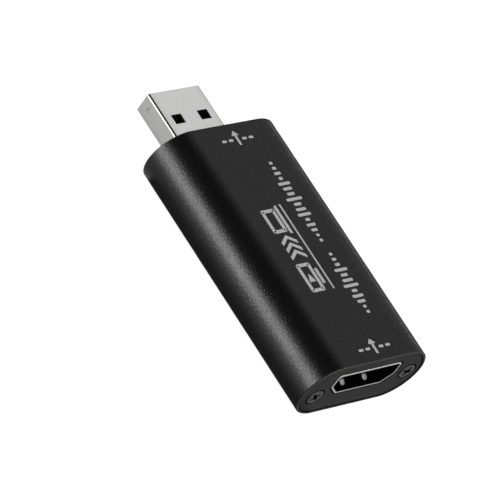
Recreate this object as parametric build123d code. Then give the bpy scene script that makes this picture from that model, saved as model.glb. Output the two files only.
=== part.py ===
from build123d import *
import math
import os

# A video capture stick: a metal tube of stadium section, closed by a plate at each end, with a
# video input socket in one plate and a computer plug standing out of the other.
# Sizes are in millimetres. X is the width, +Y points to the plug, +Z is up.
# The origin lies on the surface that the stick rests on, under the middle of its length.

# Tube: its width and length follow from the connectors, the screws and the rows on the board
TUBE_THICKNESS = 12.8
TUBE_WALL = 1.2
TUBE_RIM = 0.5
TUBE_EDGE = 0.15
SIDE_ROOM = 4.0  # from the axis of the left screws to the side of the tube
OVERRUN = 1.0  # how far a cut runs past what it cuts

# End plates, each set a little back in the end of the tube, as deep as its screws stand proud of it
PLATE_THICKNESS = 1.4
PLATE_SETBACK = 0.1
PLATE_FIT = 0.2
COUNTERBORE_DEPTH = 0.7
COUNTERBORE_FIT = 0.25

# Screws: the left pair sits below the middle of the section and the right pair just above it
SCREW_CREST_R = 1.0
SCREW_ROOT_R = 0.8
SCREW_PITCH = 0.5
THREAD_SHARES = ((0, 0), (0.2, 0), (0.4, 1), (0.6, 1))  # of the pitch, and of the thread's depth
SCREW_REACH = 5.0  # from the underside of the head to the tip
SCREW_HEAD_R = 1.65
SCREW_HEAD_HEIGHT = 0.8
SCREW_HEAD_EDGE = 0.2
RECESS_LENGTH = 2.3
RECESS_WIDTH = 0.6
RECESS_DEPTH = 0.6
SCREW_HOLE_FIT = 0.15
LEFT_SCREW_DROP = 1.25
RIGHT_SCREW_RISE = 0.25
RIGHT_SCREW_OUTSET = 0.6  # how much further out the right pair stands
INPUT_SCREW_TURNS = (35, -20)  # degrees
OUTPUT_SCREW_TURNS = (12, 40)

# Screw ports and board guides inside the tube
THREAD_FIT = 0.02
PORT_WALL = 0.73
PORT_SLIT = 0.8
PORT_WEB = 1.6
GROOVE_WEB = 0.43  # metal between the board's groove and the bore of the left port
RAIL_GRIP = 0.7  # how far the rails reach over the edge of the board
RAIL_THICKNESS = 0.8
GUIDE_WALL = 0.8

# Circuit board
BOARD_THICKNESS = 1.0
BOARD_DROP = 2.0  # from the middle of the section down to the top of the board
BOARD_MARGIN = 1.05  # from the side wall of the socket to the edge of the board
BOARD_EAR = 2.3  # least width of board beside the plug
BOARD_FIT = 0.1
BOARD_END_GAP = 0.2
NOTCH_FIT = 0.15
NOTCH_END_GAP = 0.25

# Input socket
SOCKET_WIDTH = 14.0
SOCKET_HEIGHT = 4.55
SOCKET_CHAMFER = 1.9
SOCKET_CORNER_R = 0.5
SOCKET_SHEET = 0.4
SOCKET_LENGTH = 11.5
SOCKET_SETBACK = 0.1
SOCKET_LIFT = 0.425  # gap between the shell and the board
SOCKET_APERTURE_FIT = 0.3
SOCKET_REAR_OPENING = 9.4  # depth from which the bottom wall is cut away
SOCKET_LEG_WIDTH = 1.6
SOCKET_LEG_DEPTHS = (4.4, 10.0)
LEG_FIT = 0.12
LEG_STUB = 0.8  # how far a leg stands out under the board

# Spring leaves of the socket
LEAF_SPACING = 5.2
LEAF_SHIFT = 0.4  # how far to the left of the socket's middle they are centred
LEAF_WIDTH = 1.1
LEAF_SHEET = 0.25
LEAF_BEND_R = 0.6
LEAF_TIP_DEPTH = 0.9
LEAF_CREST_DEPTH = 1.85
LEAF_ROOT_DEPTH = 7.0
LEAF_CREST = 0.65  # how far the crest stands into the opening
LEAF_TIP_RISE = 0.15
LEAF_FIT = 0.15
LEAF_ROOT_GAP = 0.08

# Insulator and contacts of the socket
TONGUE_WIDTH = 10.6
TONGUE_THICKNESS = 1.8
TONGUE_SETBACK = 1.6
TONGUE_EDGE = 0.2
INSULATOR_DEPTH = 9.0
INSULATOR_END = 11.3
INSULATOR_FIT = 0.05
PEG_R = 0.45
PEG_SPACING = 7.0
PEG_DEPTH = 10.4
PEG_FIT = 0.05
UPPER_CONTACT_COUNT = 10
LOWER_CONTACT_COUNT = 9
CONTACT_PITCH = 1.0
CONTACT_WIDTH = 0.3
CONTACT_SHEET = 0.15
CONTACT_START = 2.0
TAIL_DEPTH = 11.7
TAIL_END = 12.7

# Output plug
PLUG_REACH = 12.5  # how far the plug stands out of the tube
PLUG_SEAT = 6.25  # how far its shell reaches into the tube
PLUG_WIDTH = 12.0
PLUG_HEIGHT = 4.5
PLUG_SHEET = 0.3
PLUG_CORNER_R = 0.6
PLUG_TIP_EDGE = 0.12
PLUG_RISE = 0.5  # from the top of the board up to the middle of the plug
PLUG_APERTURE_FIT = 0.15
WINDOW_SPACING = 6.0
WINDOW_WIDTH = 2.3
WINDOW_LENGTH = 2.0
WINDOW_DEPTH = 5.16
DIMPLE_R = 0.46
DIMPLE_DEPTH = 0.17
DIMPLE_SETBACK = 2.0
SEAM_WIDTH = 0.08
SEAM_DEPTH = 0.15
PLUG_LEG_WIDTH = 1.6
PLUG_LEG_SETBACK = 2.0  # from the rear of the shell to the middle of its legs

# Insulator and contacts of the plug
PLUG_INSULATOR_FIT = 0.05
PLUG_TONGUE_THICKNESS = 1.95
PLUG_TONGUE_SETBACK = 0.6
PLUG_CAVITY = 12.2
PLUG_BLOCK_INSET = 0.1
PLUG_CONTACT_PLACES = (-3.5, -1.0, 1.0, 3.5)
PLUG_CONTACT_WIDTH = 1.0
PLUG_CONTACT_SHEET = 0.2
PLUG_OUTER_START = 1.4
PLUG_INNER_START = 2.4
PLUG_TAIL_RUN = 0.55  # how far a tail runs level behind the shell before it steps down
PLUG_TAIL_FOOT = 1.5

# Solder at the legs
SOLDER_SPREAD = 0.15
SOLDER_HEIGHT = 0.6
SOLDER_TAPER = 12  # degrees

# Parts on the board
CHIP_SIZE = 7.0
CHIP_HEIGHT = 1.5
CHIP_SPAN = 9.0
CHIP_LEAD_COUNT = 12  # on each side
CHIP_LEAD_PITCH = 0.5
CHIP_LEAD_WIDTH = 0.22
MEMORY_WIDTH = 3.9
MEMORY_LENGTH = 4.9
MEMORY_HEIGHT = 1.55
MEMORY_SPAN = 6.0
MEMORY_LEAD_COUNT = 4  # on each side
MEMORY_LEAD_PITCH = 1.27
MEMORY_LEAD_WIDTH = 0.4
SMALL_PACKAGE_LENGTH = 2.9
REGULATOR_WIDTH = 1.3
REGULATOR_SPAN = 2.4
SURGE_WIDTH = 1.6
SURGE_SPAN = 2.8
SMALL_PACKAGE_HEIGHT = 1.1
SMALL_LEAD_PITCH = 0.95
SMALL_LEAD_WIDTH = 0.35
LEAD_SHEET = 0.12
PACKAGE_STANDOFF = 0.1
PACKAGE_EDGE = 0.15
CRYSTAL_LENGTH = 11.4
CRYSTAL_WIDTH = 4.7
CRYSTAL_HEIGHT = 3.5
CRYSTAL_EDGE = 0.3
CRYSTAL_BASE_MARGIN = 0.4
CRYSTAL_BASE_HEIGHT = 0.7
CHIP_PART_LENGTH = 1.6
CHIP_PART_WIDTH = 0.8
CAPACITOR_HEIGHT = 0.8
RESISTOR_HEIGHT = 0.45
TERMINAL_LENGTH = 0.3
INDUCTOR_SIZE = 4.0
INDUCTOR_HEIGHT = 1.8
INDUCTOR_CORNER_R = 0.6
INDUCTOR_TERMINAL = 1.1
INDUCTOR_TERMINAL_SHEET = 0.1
ROW_GAP = 0.6875  # between the rows of parts on the board

# The width and depth that each kind of part takes up on the board
CRYSTAL_BASE_LENGTH = CRYSTAL_LENGTH + 2 * CRYSTAL_BASE_MARGIN
CRYSTAL_BASE_WIDTH = CRYSTAL_WIDTH + 2 * CRYSTAL_BASE_MARGIN
FOOTPRINTS = {
    "chip": (CHIP_SPAN, CHIP_SPAN),
    "memory": (MEMORY_SPAN, MEMORY_LENGTH),
    "regulator": (REGULATOR_SPAN, SMALL_PACKAGE_LENGTH),
    "surge": (SMALL_PACKAGE_LENGTH, SURGE_SPAN),
    "crystal": (CRYSTAL_BASE_LENGTH, CRYSTAL_BASE_WIDTH),
    "inductor": (INDUCTOR_SIZE, INDUCTOR_SIZE),
    "capacitor": (CHIP_PART_LENGTH, CHIP_PART_WIDTH),
    "upright_capacitor": (CHIP_PART_WIDTH, CHIP_PART_LENGTH),
    "resistor": (CHIP_PART_LENGTH, CHIP_PART_WIDTH),
}

# Rows from the socket to the plug, each a list of columns from left to right
ROWS = (
    (["upright_capacitor"], ["surge"], ["upright_capacitor"], ["surge"], ["upright_capacitor"]),
    (["crystal"],),
    (["resistor"], ["capacitor"], ["resistor"], ["capacitor"], ["resistor"], ["capacitor"], ["resistor"]),
    (["upright_capacitor"] * 3, ["chip"], ["regulator"] * 2),
    (["capacitor"], ["resistor"], ["capacitor"], ["resistor"], ["capacitor"], ["resistor"], ["capacitor"]),
    (["upright_capacitor"], ["memory"], ["inductor"], ["upright_capacitor"] * 2),
    (["resistor"], ["resistor"], ["capacitor"], ["capacitor"], ["resistor"], ["resistor"], ["capacitor"]),
)
ROW_DEPTHS = [max(sum(FOOTPRINTS[kind][1] for kind in column) for column in row) for row in ROWS]
ROWS_LENGTH = sum(ROW_DEPTHS) + ROW_GAP * (len(ROWS) + 1)

# Heights above the surface that the stick rests on
Z_MID = TUBE_THICKNESS / 2
Z_BOARD = Z_MID - BOARD_DROP
Z_BOARD_BOTTOM = Z_BOARD - BOARD_THICKNESS
Z_SOCKET_FLOOR = Z_BOARD + SOCKET_LIFT + SOCKET_SHEET
Z_SOCKET = Z_SOCKET_FLOOR + SOCKET_HEIGHT / 2
Z_PLUG = Z_BOARD + PLUG_RISE
Z_PLUG_TONGUE = Z_PLUG - PLUG_HEIGHT / 2 + PLUG_SHEET + PLUG_TONGUE_THICKNESS

# Places along the stick, whose length is what its connectors and the rows between them need
PLUG_TAIL_STEP = Z_PLUG_TONGUE - PLUG_CONTACT_SHEET - Z_BOARD
PLUG_TAIL = PLUG_TAIL_RUN + PLUG_TAIL_STEP + PLUG_TAIL_FOOT
TUBE_LENGTH = SOCKET_SETBACK + TAIL_END + ROWS_LENGTH + PLUG_TAIL + PLUG_SEAT
OVERALL_LENGTH = TUBE_LENGTH + PLUG_REACH
Y_INPUT = -OVERALL_LENGTH / 2
Y_OUTPUT = Y_INPUT + TUBE_LENGTH
Y_TIP = OVERALL_LENGTH / 2
Y_MOUTH = Y_INPUT + SOCKET_SETBACK
Y_SOCKET_END = Y_MOUTH + SOCKET_LENGTH
Y_PLUG_REAR = Y_OUTPUT - PLUG_SEAT
Y_INPUT_FACE = Y_INPUT + PLATE_SETBACK
Y_OUTPUT_FACE = Y_OUTPUT - PLATE_SETBACK
Y_INPUT_LEDGE = Y_INPUT_FACE + PLATE_THICKNESS
Y_OUTPUT_LEDGE = Y_OUTPUT_FACE - PLATE_THICKNESS
Y_BOARD_START = Y_INPUT_LEDGE + BOARD_END_GAP
Y_BOARD_END = Y_OUTPUT_LEDGE - BOARD_END_GAP
Y_NOTCH = Y_PLUG_REAR - NOTCH_END_GAP
Y_PLUG_TAIL = Y_PLUG_REAR - PLUG_TAIL_RUN
Y_PLUG_LEG = Y_PLUG_REAR + PLUG_LEG_SETBACK

# Places across the stick, from the socket outwards
SOCKET_HALF = SOCKET_WIDTH / 2 + SOCKET_SHEET
BOARD_HALF = max(SOCKET_HALF + BOARD_MARGIN, PLUG_WIDTH / 2 + BOARD_EAR)
GROOVE_END = BOARD_HALF + BOARD_FIT
RAIL_TIP = GROOVE_END - RAIL_GRIP
PORT_BORE_R = SCREW_CREST_R + THREAD_FIT
PORT_R = PORT_BORE_R + PORT_WALL
LEFT_SCREW_X = -(GROOVE_END + GROOVE_WEB + PORT_BORE_R)
RIGHT_SCREW_X = -LEFT_SCREW_X + RIGHT_SCREW_OUTSET
TUBE_WIDTH = 2 * (SIDE_ROOM - LEFT_SCREW_X)
PLUG_LEG_X = (PLUG_WIDTH / 2 + RAIL_TIP) / 2
SCREW_PLACES = (
    (LEFT_SCREW_X, Z_MID - LEFT_SCREW_DROP),
    (RIGHT_SCREW_X, Z_MID + RIGHT_SCREW_RISE),
)


def block(x, y, z):
    """A block between two places on each axis."""
    size = Box(x[1] - x[0], y[1] - y[0], z[1] - z[0])
    return Pos((x[0] + x[1]) / 2, (y[0] + y[1]) / 2, (z[0] + z[1]) / 2) * size


def prism(outline, y_start, y_end):
    """An outline drawn in X and Z, carried along Y."""
    plane = Plane(origin=(0, y_end, 0), x_dir=(1, 0, 0), z_dir=(0, -1, 0))
    return extrude(plane * outline, amount=y_end - y_start)


def slab(outline, z_start, z_end):
    """An outline drawn in X and Y, carried up from one height to another."""
    return extrude(Pos(0, 0, z_start) * outline, amount=z_end - z_start)


def strip(path, width, x=0):
    """A band whose side view is drawn in Y and Z, centred on x."""
    return Pos(x, 0, 0) * extrude(Plane.YZ * path, amount=width / 2, both=True)


def group(shapes):
    """Separate solids kept together under one name."""
    return Compound([solid for shape in shapes for solid in shape.solids()])


def spread(sizes, low, high):
    """Centres of things laid side by side from low to high with equal gaps around them."""
    gap = (high - low - sum(sizes)) / (len(sizes) + 1)
    centres = []
    edge = low
    for size in sizes:
        centres.append(edge + gap + size / 2)
        edge += gap + size
    return centres


def places(count, pitch):
    """Places of a row of equal things, centred on zero."""
    return [(i - (count - 1) / 2) * pitch for i in range(count)]


# Housing

def stadium(inset):
    """The outline of the tube's section, drawn inwards by an inset."""
    outline = SlotOverall(TUBE_WIDTH - 2 * inset, TUBE_THICKNESS - 2 * inset)
    return Pos(0, Z_MID) * outline


def port(x, z):
    """A screw port and the web that ties it to the nearest wall of the tube."""
    side = math.copysign(1, x)
    arc_x = side * (TUBE_WIDTH - TUBE_THICKNESS) / 2
    away = math.atan2(z - Z_MID, x - arc_x)
    web = Rectangle(TUBE_THICKNESS / 2, PORT_WEB, align=(Align.MIN, Align.CENTER))
    return Pos(x, z) * (Circle(PORT_R) + Rot(0, 0, math.degrees(away)) * web)


def port_bore(x, z):
    """The bore of a screw port and the slit along its upper side."""
    slit = Rectangle(PORT_SLIT, PORT_R + OVERRUN, align=(Align.CENTER, Align.MIN))
    return Pos(x, z) * (Circle(PORT_BORE_R) + slit)


def guide(side):
    """A rib on the floor of the tube whose upper part is a rail over the board's edge."""
    top = Z_BOARD + BOARD_FIT + RAIL_THICKNESS
    rib = Rectangle(RAIL_GRIP + GUIDE_WALL, top, align=(Align.MIN, Align.MIN))
    return Pos(RAIL_TIP if side > 0 else -RAIL_TIP - RAIL_GRIP - GUIDE_WALL, 0) * rib


def housing_tube():
    bore = stadium(TUBE_WALL)
    inner = Sketch() + [port(x, z) for x, z in SCREW_PLACES] + [guide(1), guide(-1)]
    section = stadium(0) - bore + (inner & stadium(TUBE_WALL / 2))
    groove = Rectangle(2 * GROOVE_END, BOARD_THICKNESS + BOARD_FIT, align=(Align.CENTER, Align.MIN))
    section -= Pos(0, Z_BOARD_BOTTOM) * groove
    for x, z in SCREW_PLACES:
        section -= port_bore(x, z)
    tube = prism(section, Y_INPUT, Y_OUTPUT)
    ends = tube.faces().filter_by(Axis.Y).sort_by(Axis.Y)
    tube = chamfer(ends[0].outer_wire().edges() + ends[-1].outer_wire().edges(), TUBE_EDGE)
    pocket = stadium(TUBE_RIM)
    tube -= prism(pocket, Y_INPUT - OVERRUN, Y_INPUT_LEDGE)
    tube -= prism(pocket, Y_OUTPUT_LEDGE, Y_OUTPUT + OVERRUN)
    return tube


def screw_holes(y_seat, y_face):
    """Clearance holes through a plate, with counterbores from the seat out to the face."""
    outward = math.copysign(1, y_face - y_seat)
    holes = Part()
    for x, z in SCREW_PLACES:
        hole = Pos(x, z) * Circle(SCREW_CREST_R + SCREW_HOLE_FIT)
        sink = Pos(x, z) * Circle(SCREW_HEAD_R + COUNTERBORE_FIT)
        back = y_face - outward * (PLATE_THICKNESS + OVERRUN)
        front = y_face + outward * OVERRUN
        holes += prism(hole, min(back, front), max(back, front))
        holes += prism(sink, min(y_seat, front), max(y_seat, front))
    return holes


def input_end_plate():
    plate = prism(stadium(TUBE_RIM + PLATE_FIT), Y_INPUT_FACE, Y_INPUT_LEDGE)
    aperture = socket_outline(SOCKET_SHEET + SOCKET_APERTURE_FIT)
    plate -= prism(aperture, Y_INPUT - OVERRUN, Y_INPUT_LEDGE + OVERRUN)
    return plate - screw_holes(Y_INPUT_FACE + COUNTERBORE_DEPTH, Y_INPUT_FACE)


def output_end_plate():
    plate = prism(stadium(TUBE_RIM + PLATE_FIT), Y_OUTPUT_LEDGE, Y_OUTPUT_FACE)
    aperture = plug_outline(-PLUG_APERTURE_FIT)
    plate -= prism(aperture, Y_OUTPUT_LEDGE - OVERRUN, Y_OUTPUT + OVERRUN)
    return plate - screw_holes(Y_OUTPUT_FACE - COUNTERBORE_DEPTH, Y_OUTPUT_FACE)


def screw(turn):
    """A screw along +Z with the underside of its head at zero and a cross recess in its head."""
    top = -SCREW_HEAD_HEIGHT
    rings = round((SCREW_REACH - SCREW_CREST_R) / SCREW_PITCH)
    profile = [(0, top), (SCREW_HEAD_R - SCREW_HEAD_EDGE, top)]
    profile += [(SCREW_HEAD_R, top + SCREW_HEAD_EDGE), (SCREW_HEAD_R, 0)]
    for ring in range(rings):
        for along, up in THREAD_SHARES:
            radius = SCREW_ROOT_R + up * (SCREW_CREST_R - SCREW_ROOT_R)
            profile.append((radius, (ring + along) * SCREW_PITCH))
    profile += [(SCREW_ROOT_R, rings * SCREW_PITCH), (0, SCREW_REACH)]
    face = make_face(Polyline(*profile, close=True))
    solid = revolve(Plane.XZ * face, Axis.Z)
    cross = Rectangle(RECESS_LENGTH, RECESS_WIDTH) + Rectangle(RECESS_WIDTH, RECESS_LENGTH)
    return solid - slab(Rot(0, 0, turn) * cross, top - OVERRUN, top + RECESS_DEPTH)


def input_end_screws():
    seat = Y_INPUT_FACE + COUNTERBORE_DEPTH
    pairs = zip(SCREW_PLACES, INPUT_SCREW_TURNS)
    return group(Pos(x, seat, z) * Rot(-90, 0, 0) * screw(turn) for (x, z), turn in pairs)


def output_end_screws():
    seat = Y_OUTPUT_FACE - COUNTERBORE_DEPTH
    pairs = zip(SCREW_PLACES, OUTPUT_SCREW_TURNS)
    return group(Pos(x, seat, z) * Rot(90, 0, 0) * screw(turn) for (x, z), turn in pairs)


# Input socket

def socket_outline(growth):
    """The mouth of the socket, a rectangle with two cut lower corners, grown by an even wall."""
    half = SOCKET_WIDTH / 2
    low = -SOCKET_HEIGHT / 2
    points = [
        (-half, -low),
        (half, -low),
        (half, low + SOCKET_CHAMFER),
        (half - SOCKET_CHAMFER, low),
        (-half + SOCKET_CHAMFER, low),
        (-half, low + SOCKET_CHAMFER),
    ]
    mouth = make_face(Polyline(*points, close=True))
    mouth = fillet(mouth.vertices(), SOCKET_CORNER_R)
    if growth:
        mouth = offset(mouth, growth)
    return Pos(0, Z_SOCKET) * mouth


def leaf_places():
    """The upper and lower side, and the X place, of each spring leaf, by name."""
    sides = {"top": 1, "bottom": -1}
    edges = {"left": -LEAF_SHIFT - LEAF_SPACING / 2, "right": LEAF_SPACING / 2 - LEAF_SHIFT}
    return {f"{a}_{b}": (sides[a], edges[b]) for a in sides for b in edges}


def leg_depths():
    """Where the legs start and end along the socket."""
    half = SOCKET_LEG_WIDTH / 2
    return [(Y_MOUTH + depth - half, Y_MOUTH + depth + half) for depth in SOCKET_LEG_DEPTHS]


def socket_legs(growth=0):
    """The legs that go from the side walls down through the board."""
    inner = SOCKET_HALF - SOCKET_SHEET
    legs = []
    for side in (-1, 1):
        x = sorted((side * (inner - growth), side * (SOCKET_HALF + growth)))
        for start, end in leg_depths():
            legs.append(block(x, (start - growth, end + growth), (Z_BOARD_BOTTOM - LEG_STUB, Z_SOCKET)))
    return legs


def socket_shell():
    walls = socket_outline(SOCKET_SHEET) - socket_outline(0)
    shell = prism(walls, Y_MOUTH, Y_SOCKET_END)
    shell += socket_legs()
    for side, x in leaf_places().values():
        z = sorted((Z_SOCKET, Z_SOCKET + side * (SOCKET_HEIGHT / 2 + SOCKET_SHEET + OVERRUN)))
        y = (Y_MOUTH + LEAF_TIP_DEPTH - LEAF_FIT, Y_MOUTH + LEAF_ROOT_DEPTH + LEAF_ROOT_GAP)
        half = LEAF_WIDTH / 2 + LEAF_FIT
        shell -= block((x - half, x + half), y, z)
    flat = SOCKET_WIDTH / 2 - SOCKET_CHAMFER
    rear = (Y_MOUTH + SOCKET_REAR_OPENING, Y_SOCKET_END + OVERRUN)
    return shell - block((-flat, flat), rear, (Z_BOARD, Z_SOCKET))


def socket_spring(side, x):
    """A leaf that rises from its root in the wall to a crest and falls back to its tip."""
    wall = SOCKET_HEIGHT / 2
    rises = (-SOCKET_SHEET / 2, LEAF_CREST - LEAF_SHEET / 2, LEAF_TIP_RISE - LEAF_SHEET / 2)
    depths = (LEAF_ROOT_DEPTH, LEAF_CREST_DEPTH, LEAF_TIP_DEPTH)
    path = [(Y_MOUTH + d, Z_SOCKET + side * (wall - r)) for d, r in zip(depths, rises)]
    return strip(trace(FilletPolyline(*path, radius=LEAF_BEND_R), LEAF_SHEET), LEAF_WIDTH, x)


def contact_row(side, count):
    """Contacts in one face of the tongue, each bent down behind the socket onto the board."""
    z = Z_SOCKET + side * (TONGUE_THICKNESS - CONTACT_SHEET) / 2
    foot = Z_BOARD + CONTACT_SHEET / 2
    tail = Y_MOUTH + TAIL_DEPTH
    path = [(Y_MOUTH + CONTACT_START, z), (tail, z), (tail, foot), (Y_MOUTH + TAIL_END, foot)]
    side_view = trace(Polyline(*path), CONTACT_SHEET)
    return [strip(side_view, CONTACT_WIDTH, x) for x in places(count, CONTACT_PITCH)]


def socket_pegs(radius, z_end):
    """Round pegs under the insulator, down to a height."""
    pegs = []
    for x in places(2, PEG_SPACING):
        pegs.append(slab(Pos(x, Y_MOUTH + PEG_DEPTH) * Circle(radius), z_end, Z_BOARD))
    return pegs


def socket_insulator():
    start = Y_MOUTH + INSULATOR_DEPTH
    end = Y_MOUTH + INSULATOR_END
    half = TONGUE_THICKNESS / 2
    tongue = block(
        (-TONGUE_WIDTH / 2, TONGUE_WIDTH / 2),
        (Y_MOUTH + TONGUE_SETBACK, start + OVERRUN),
        (Z_SOCKET - half, Z_SOCKET + half),
    )
    front = tongue.faces().sort_by(Axis.Y)[0]
    tongue = chamfer(front.edges(), TONGUE_EDGE)
    body = tongue + prism(socket_outline(-INSULATOR_FIT), start, end)
    foot_half = SOCKET_WIDTH / 2 - SOCKET_CHAMFER - LEAF_FIT
    foot = (Y_MOUTH + SOCKET_REAR_OPENING + INSULATOR_FIT, end)
    body += block((-foot_half, foot_half), foot, (Z_BOARD, Z_SOCKET))
    body += socket_pegs(PEG_R, Z_BOARD_BOTTOM)
    for contact in contact_row(1, UPPER_CONTACT_COUNT) + contact_row(-1, LOWER_CONTACT_COUNT):
        body -= contact
    return body


# Output plug

def plug_outline(inset):
    """The outline of the plug's shell, drawn inwards by an inset."""
    size = (PLUG_WIDTH - 2 * inset, PLUG_HEIGHT - 2 * inset)
    return Pos(0, Z_PLUG) * RectangleRounded(*size, PLUG_CORNER_R - inset)


def plug_legs(growth=0):
    """The legs that go from the tabs beside the plug down through the board."""
    half = PLUG_SHEET / 2 + growth
    y = (Y_PLUG_LEG - PLUG_LEG_WIDTH / 2 - growth, Y_PLUG_LEG + PLUG_LEG_WIDTH / 2 + growth)
    z = (Z_BOARD_BOTTOM - LEG_STUB, Z_BOARD + PLUG_SHEET)
    return [block((x - half, x + half), y, z) for x in (-PLUG_LEG_X, PLUG_LEG_X)]


def plug_shell():
    shell = prism(plug_outline(0) - plug_outline(PLUG_SHEET), Y_PLUG_REAR, Y_TIP)
    tip = shell.faces().sort_by(Axis.Y)[-1]
    shell = fillet(tip.outer_wire().edges(), PLUG_TIP_EDGE)
    for side in (-1, 1):
        x = sorted((side * (PLUG_WIDTH - PLUG_SHEET) / 2, side * (PLUG_LEG_X + PLUG_SHEET / 2)))
        y = (Y_PLUG_LEG - PLUG_LEG_WIDTH / 2, Y_PLUG_LEG + PLUG_LEG_WIDTH / 2)
        shell += block(x, y, (Z_BOARD, Z_BOARD + PLUG_SHEET))
    shell += plug_legs()
    for x in places(2, WINDOW_SPACING):
        y = (Y_TIP - WINDOW_DEPTH - WINDOW_LENGTH, Y_TIP - WINDOW_DEPTH)
        z = (Z_PLUG - PLUG_HEIGHT / 2 - OVERRUN, Z_PLUG + PLUG_HEIGHT / 2 + OVERRUN)
        shell -= block((x - WINDOW_WIDTH / 2, x + WINDOW_WIDTH / 2), y, z)
    ball = (DIMPLE_R**2 + DIMPLE_DEPTH**2) / (2 * DIMPLE_DEPTH)
    reach = PLUG_WIDTH / 2 - DIMPLE_DEPTH + ball
    for x in (-reach, reach):
        shell -= Pos(x, Y_TIP - DIMPLE_SETBACK, Z_PLUG) * Rot(0, 90, 0) * Sphere(ball)
    bottom = Z_PLUG - PLUG_HEIGHT / 2
    seam = (bottom - OVERRUN, bottom + SEAM_DEPTH)
    return shell - block((-SEAM_WIDTH / 2, SEAM_WIDTH / 2), (Y_PLUG_REAR - OVERRUN, Y_TIP + OVERRUN), seam)


def plug_contacts():
    top = Z_PLUG_TONGUE - PLUG_CONTACT_SHEET / 2
    foot = Z_BOARD + PLUG_CONTACT_SHEET / 2
    contacts = []
    for x in PLUG_CONTACT_PLACES:
        outer = abs(x) == max(PLUG_CONTACT_PLACES)
        start = Y_TIP - PLUG_TONGUE_SETBACK - (PLUG_OUTER_START if outer else PLUG_INNER_START)
        step = Y_PLUG_TAIL - PLUG_TAIL_STEP
        path = [(start, top), (Y_PLUG_TAIL, top), (step, foot), (step - PLUG_TAIL_FOOT, foot)]
        contacts.append(strip(trace(Polyline(*path), PLUG_CONTACT_SHEET), PLUG_CONTACT_WIDTH, x))
    return contacts


def plug_insulator():
    inside = plug_outline(PLUG_SHEET + PLUG_INSULATOR_FIT)
    lower = Rectangle(PLUG_WIDTH, PLUG_HEIGHT, align=(Align.CENTER, Align.MAX))
    lower = Pos(0, Z_PLUG_TONGUE) * lower
    body = prism(inside & lower, Y_PLUG_REAR + PLUG_BLOCK_INSET, Y_TIP - PLUG_TONGUE_SETBACK)
    body += prism(inside, Y_PLUG_REAR + PLUG_BLOCK_INSET, Y_TIP - PLUG_CAVITY)
    for contact in plug_contacts():
        body -= contact
    return body


# Circuit board

def circuit_board():
    board = block((-BOARD_HALF, BOARD_HALF), (Y_BOARD_START, Y_BOARD_END), (Z_BOARD_BOTTOM, Z_BOARD))
    notch = PLUG_WIDTH / 2 + NOTCH_FIT
    through = (Z_BOARD_BOTTOM - OVERRUN, Z_BOARD + OVERRUN)
    board -= block((-notch, notch), (Y_NOTCH, Y_BOARD_END + OVERRUN), through)
    for leg in socket_legs(LEG_FIT) + plug_legs(LEG_FIT):
        board -= leg
    for peg in socket_pegs(PEG_R + PEG_FIT, Z_BOARD_BOTTOM - OVERRUN):
        board -= peg
    return board


def solder(legs):
    """A cone of solder under the board around each leg."""
    joints = []
    for leg in legs:
        box = leg.bounding_box()
        spread_by = 2 * (LEG_FIT + SOLDER_SPREAD)
        pad = Rectangle(box.size.X + spread_by, box.size.Y + spread_by)
        plane = Plane(origin=(box.center().X, box.center().Y, Z_BOARD_BOTTOM), z_dir=(0, 0, -1))
        joints.append(extrude(plane * pad, amount=SOLDER_HEIGHT, taper=SOLDER_TAPER) - leg)
    return group(joints)


# Parts on the board, each drawn around zero with the top of the board at height zero

def gull_lead(inner, outer, height, width, y=0):
    """A lead that leaves a package level, steps down and ends in a flat foot on the board."""
    half = LEAD_SHEET / 2
    reach = outer - inner
    path = [(inner, height), (inner + reach / 4, height), (inner + reach / 2, half), (outer, half)]
    side_view = trace(Polyline(*path), LEAD_SHEET)
    return Pos(0, y, 0) * extrude(Plane.XZ * side_view, amount=width / 2, both=True)


def leads(body, span, height, width, side_places):
    """Rows of leads, given as pairs of a turn in degrees and the places along that side."""
    made = []
    for turn, spots in side_places:
        for spot in spots:
            made.append(Rot(0, 0, turn) * gull_lead(body / 2, span / 2, height / 2, width, spot))
    return made


def package(width, length, height):
    """A moulded chip package with broken edges, held just clear of the board by its leads."""
    body = slab(Rectangle(width, length), PACKAGE_STANDOFF, height)
    return chamfer(body.faces().sort_by(Axis.Z)[-1].edges(), PACKAGE_EDGE)


def capture_chip():
    side = places(CHIP_LEAD_COUNT, CHIP_LEAD_PITCH)
    rows = [(turn, side) for turn in (0, 90, 180, 270)]
    pins = leads(CHIP_SIZE, CHIP_SPAN, CHIP_HEIGHT, CHIP_LEAD_WIDTH, rows)
    return package(CHIP_SIZE, CHIP_SIZE, CHIP_HEIGHT), pins


def memory_chip():
    side = places(MEMORY_LEAD_COUNT, MEMORY_LEAD_PITCH)
    pins = leads(MEMORY_WIDTH, MEMORY_SPAN, MEMORY_HEIGHT, MEMORY_LEAD_WIDTH, [(0, side), (180, side)])
    return package(MEMORY_WIDTH, MEMORY_LENGTH, MEMORY_HEIGHT), pins


def regulator():
    pair = places(2, 2 * SMALL_LEAD_PITCH)
    rows = [(0, pair), (180, [0])]
    pins = leads(REGULATOR_WIDTH, REGULATOR_SPAN, SMALL_PACKAGE_HEIGHT, SMALL_LEAD_WIDTH, rows)
    return package(REGULATOR_WIDTH, SMALL_PACKAGE_LENGTH, SMALL_PACKAGE_HEIGHT), pins


def surge_array():
    side = places(3, SMALL_LEAD_PITCH)
    rows = [(90, side), (270, side)]
    pins = leads(SURGE_WIDTH, SURGE_SPAN, SMALL_PACKAGE_HEIGHT, SMALL_LEAD_WIDTH, rows)
    return package(SMALL_PACKAGE_LENGTH, SURGE_WIDTH, SMALL_PACKAGE_HEIGHT), pins


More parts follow.
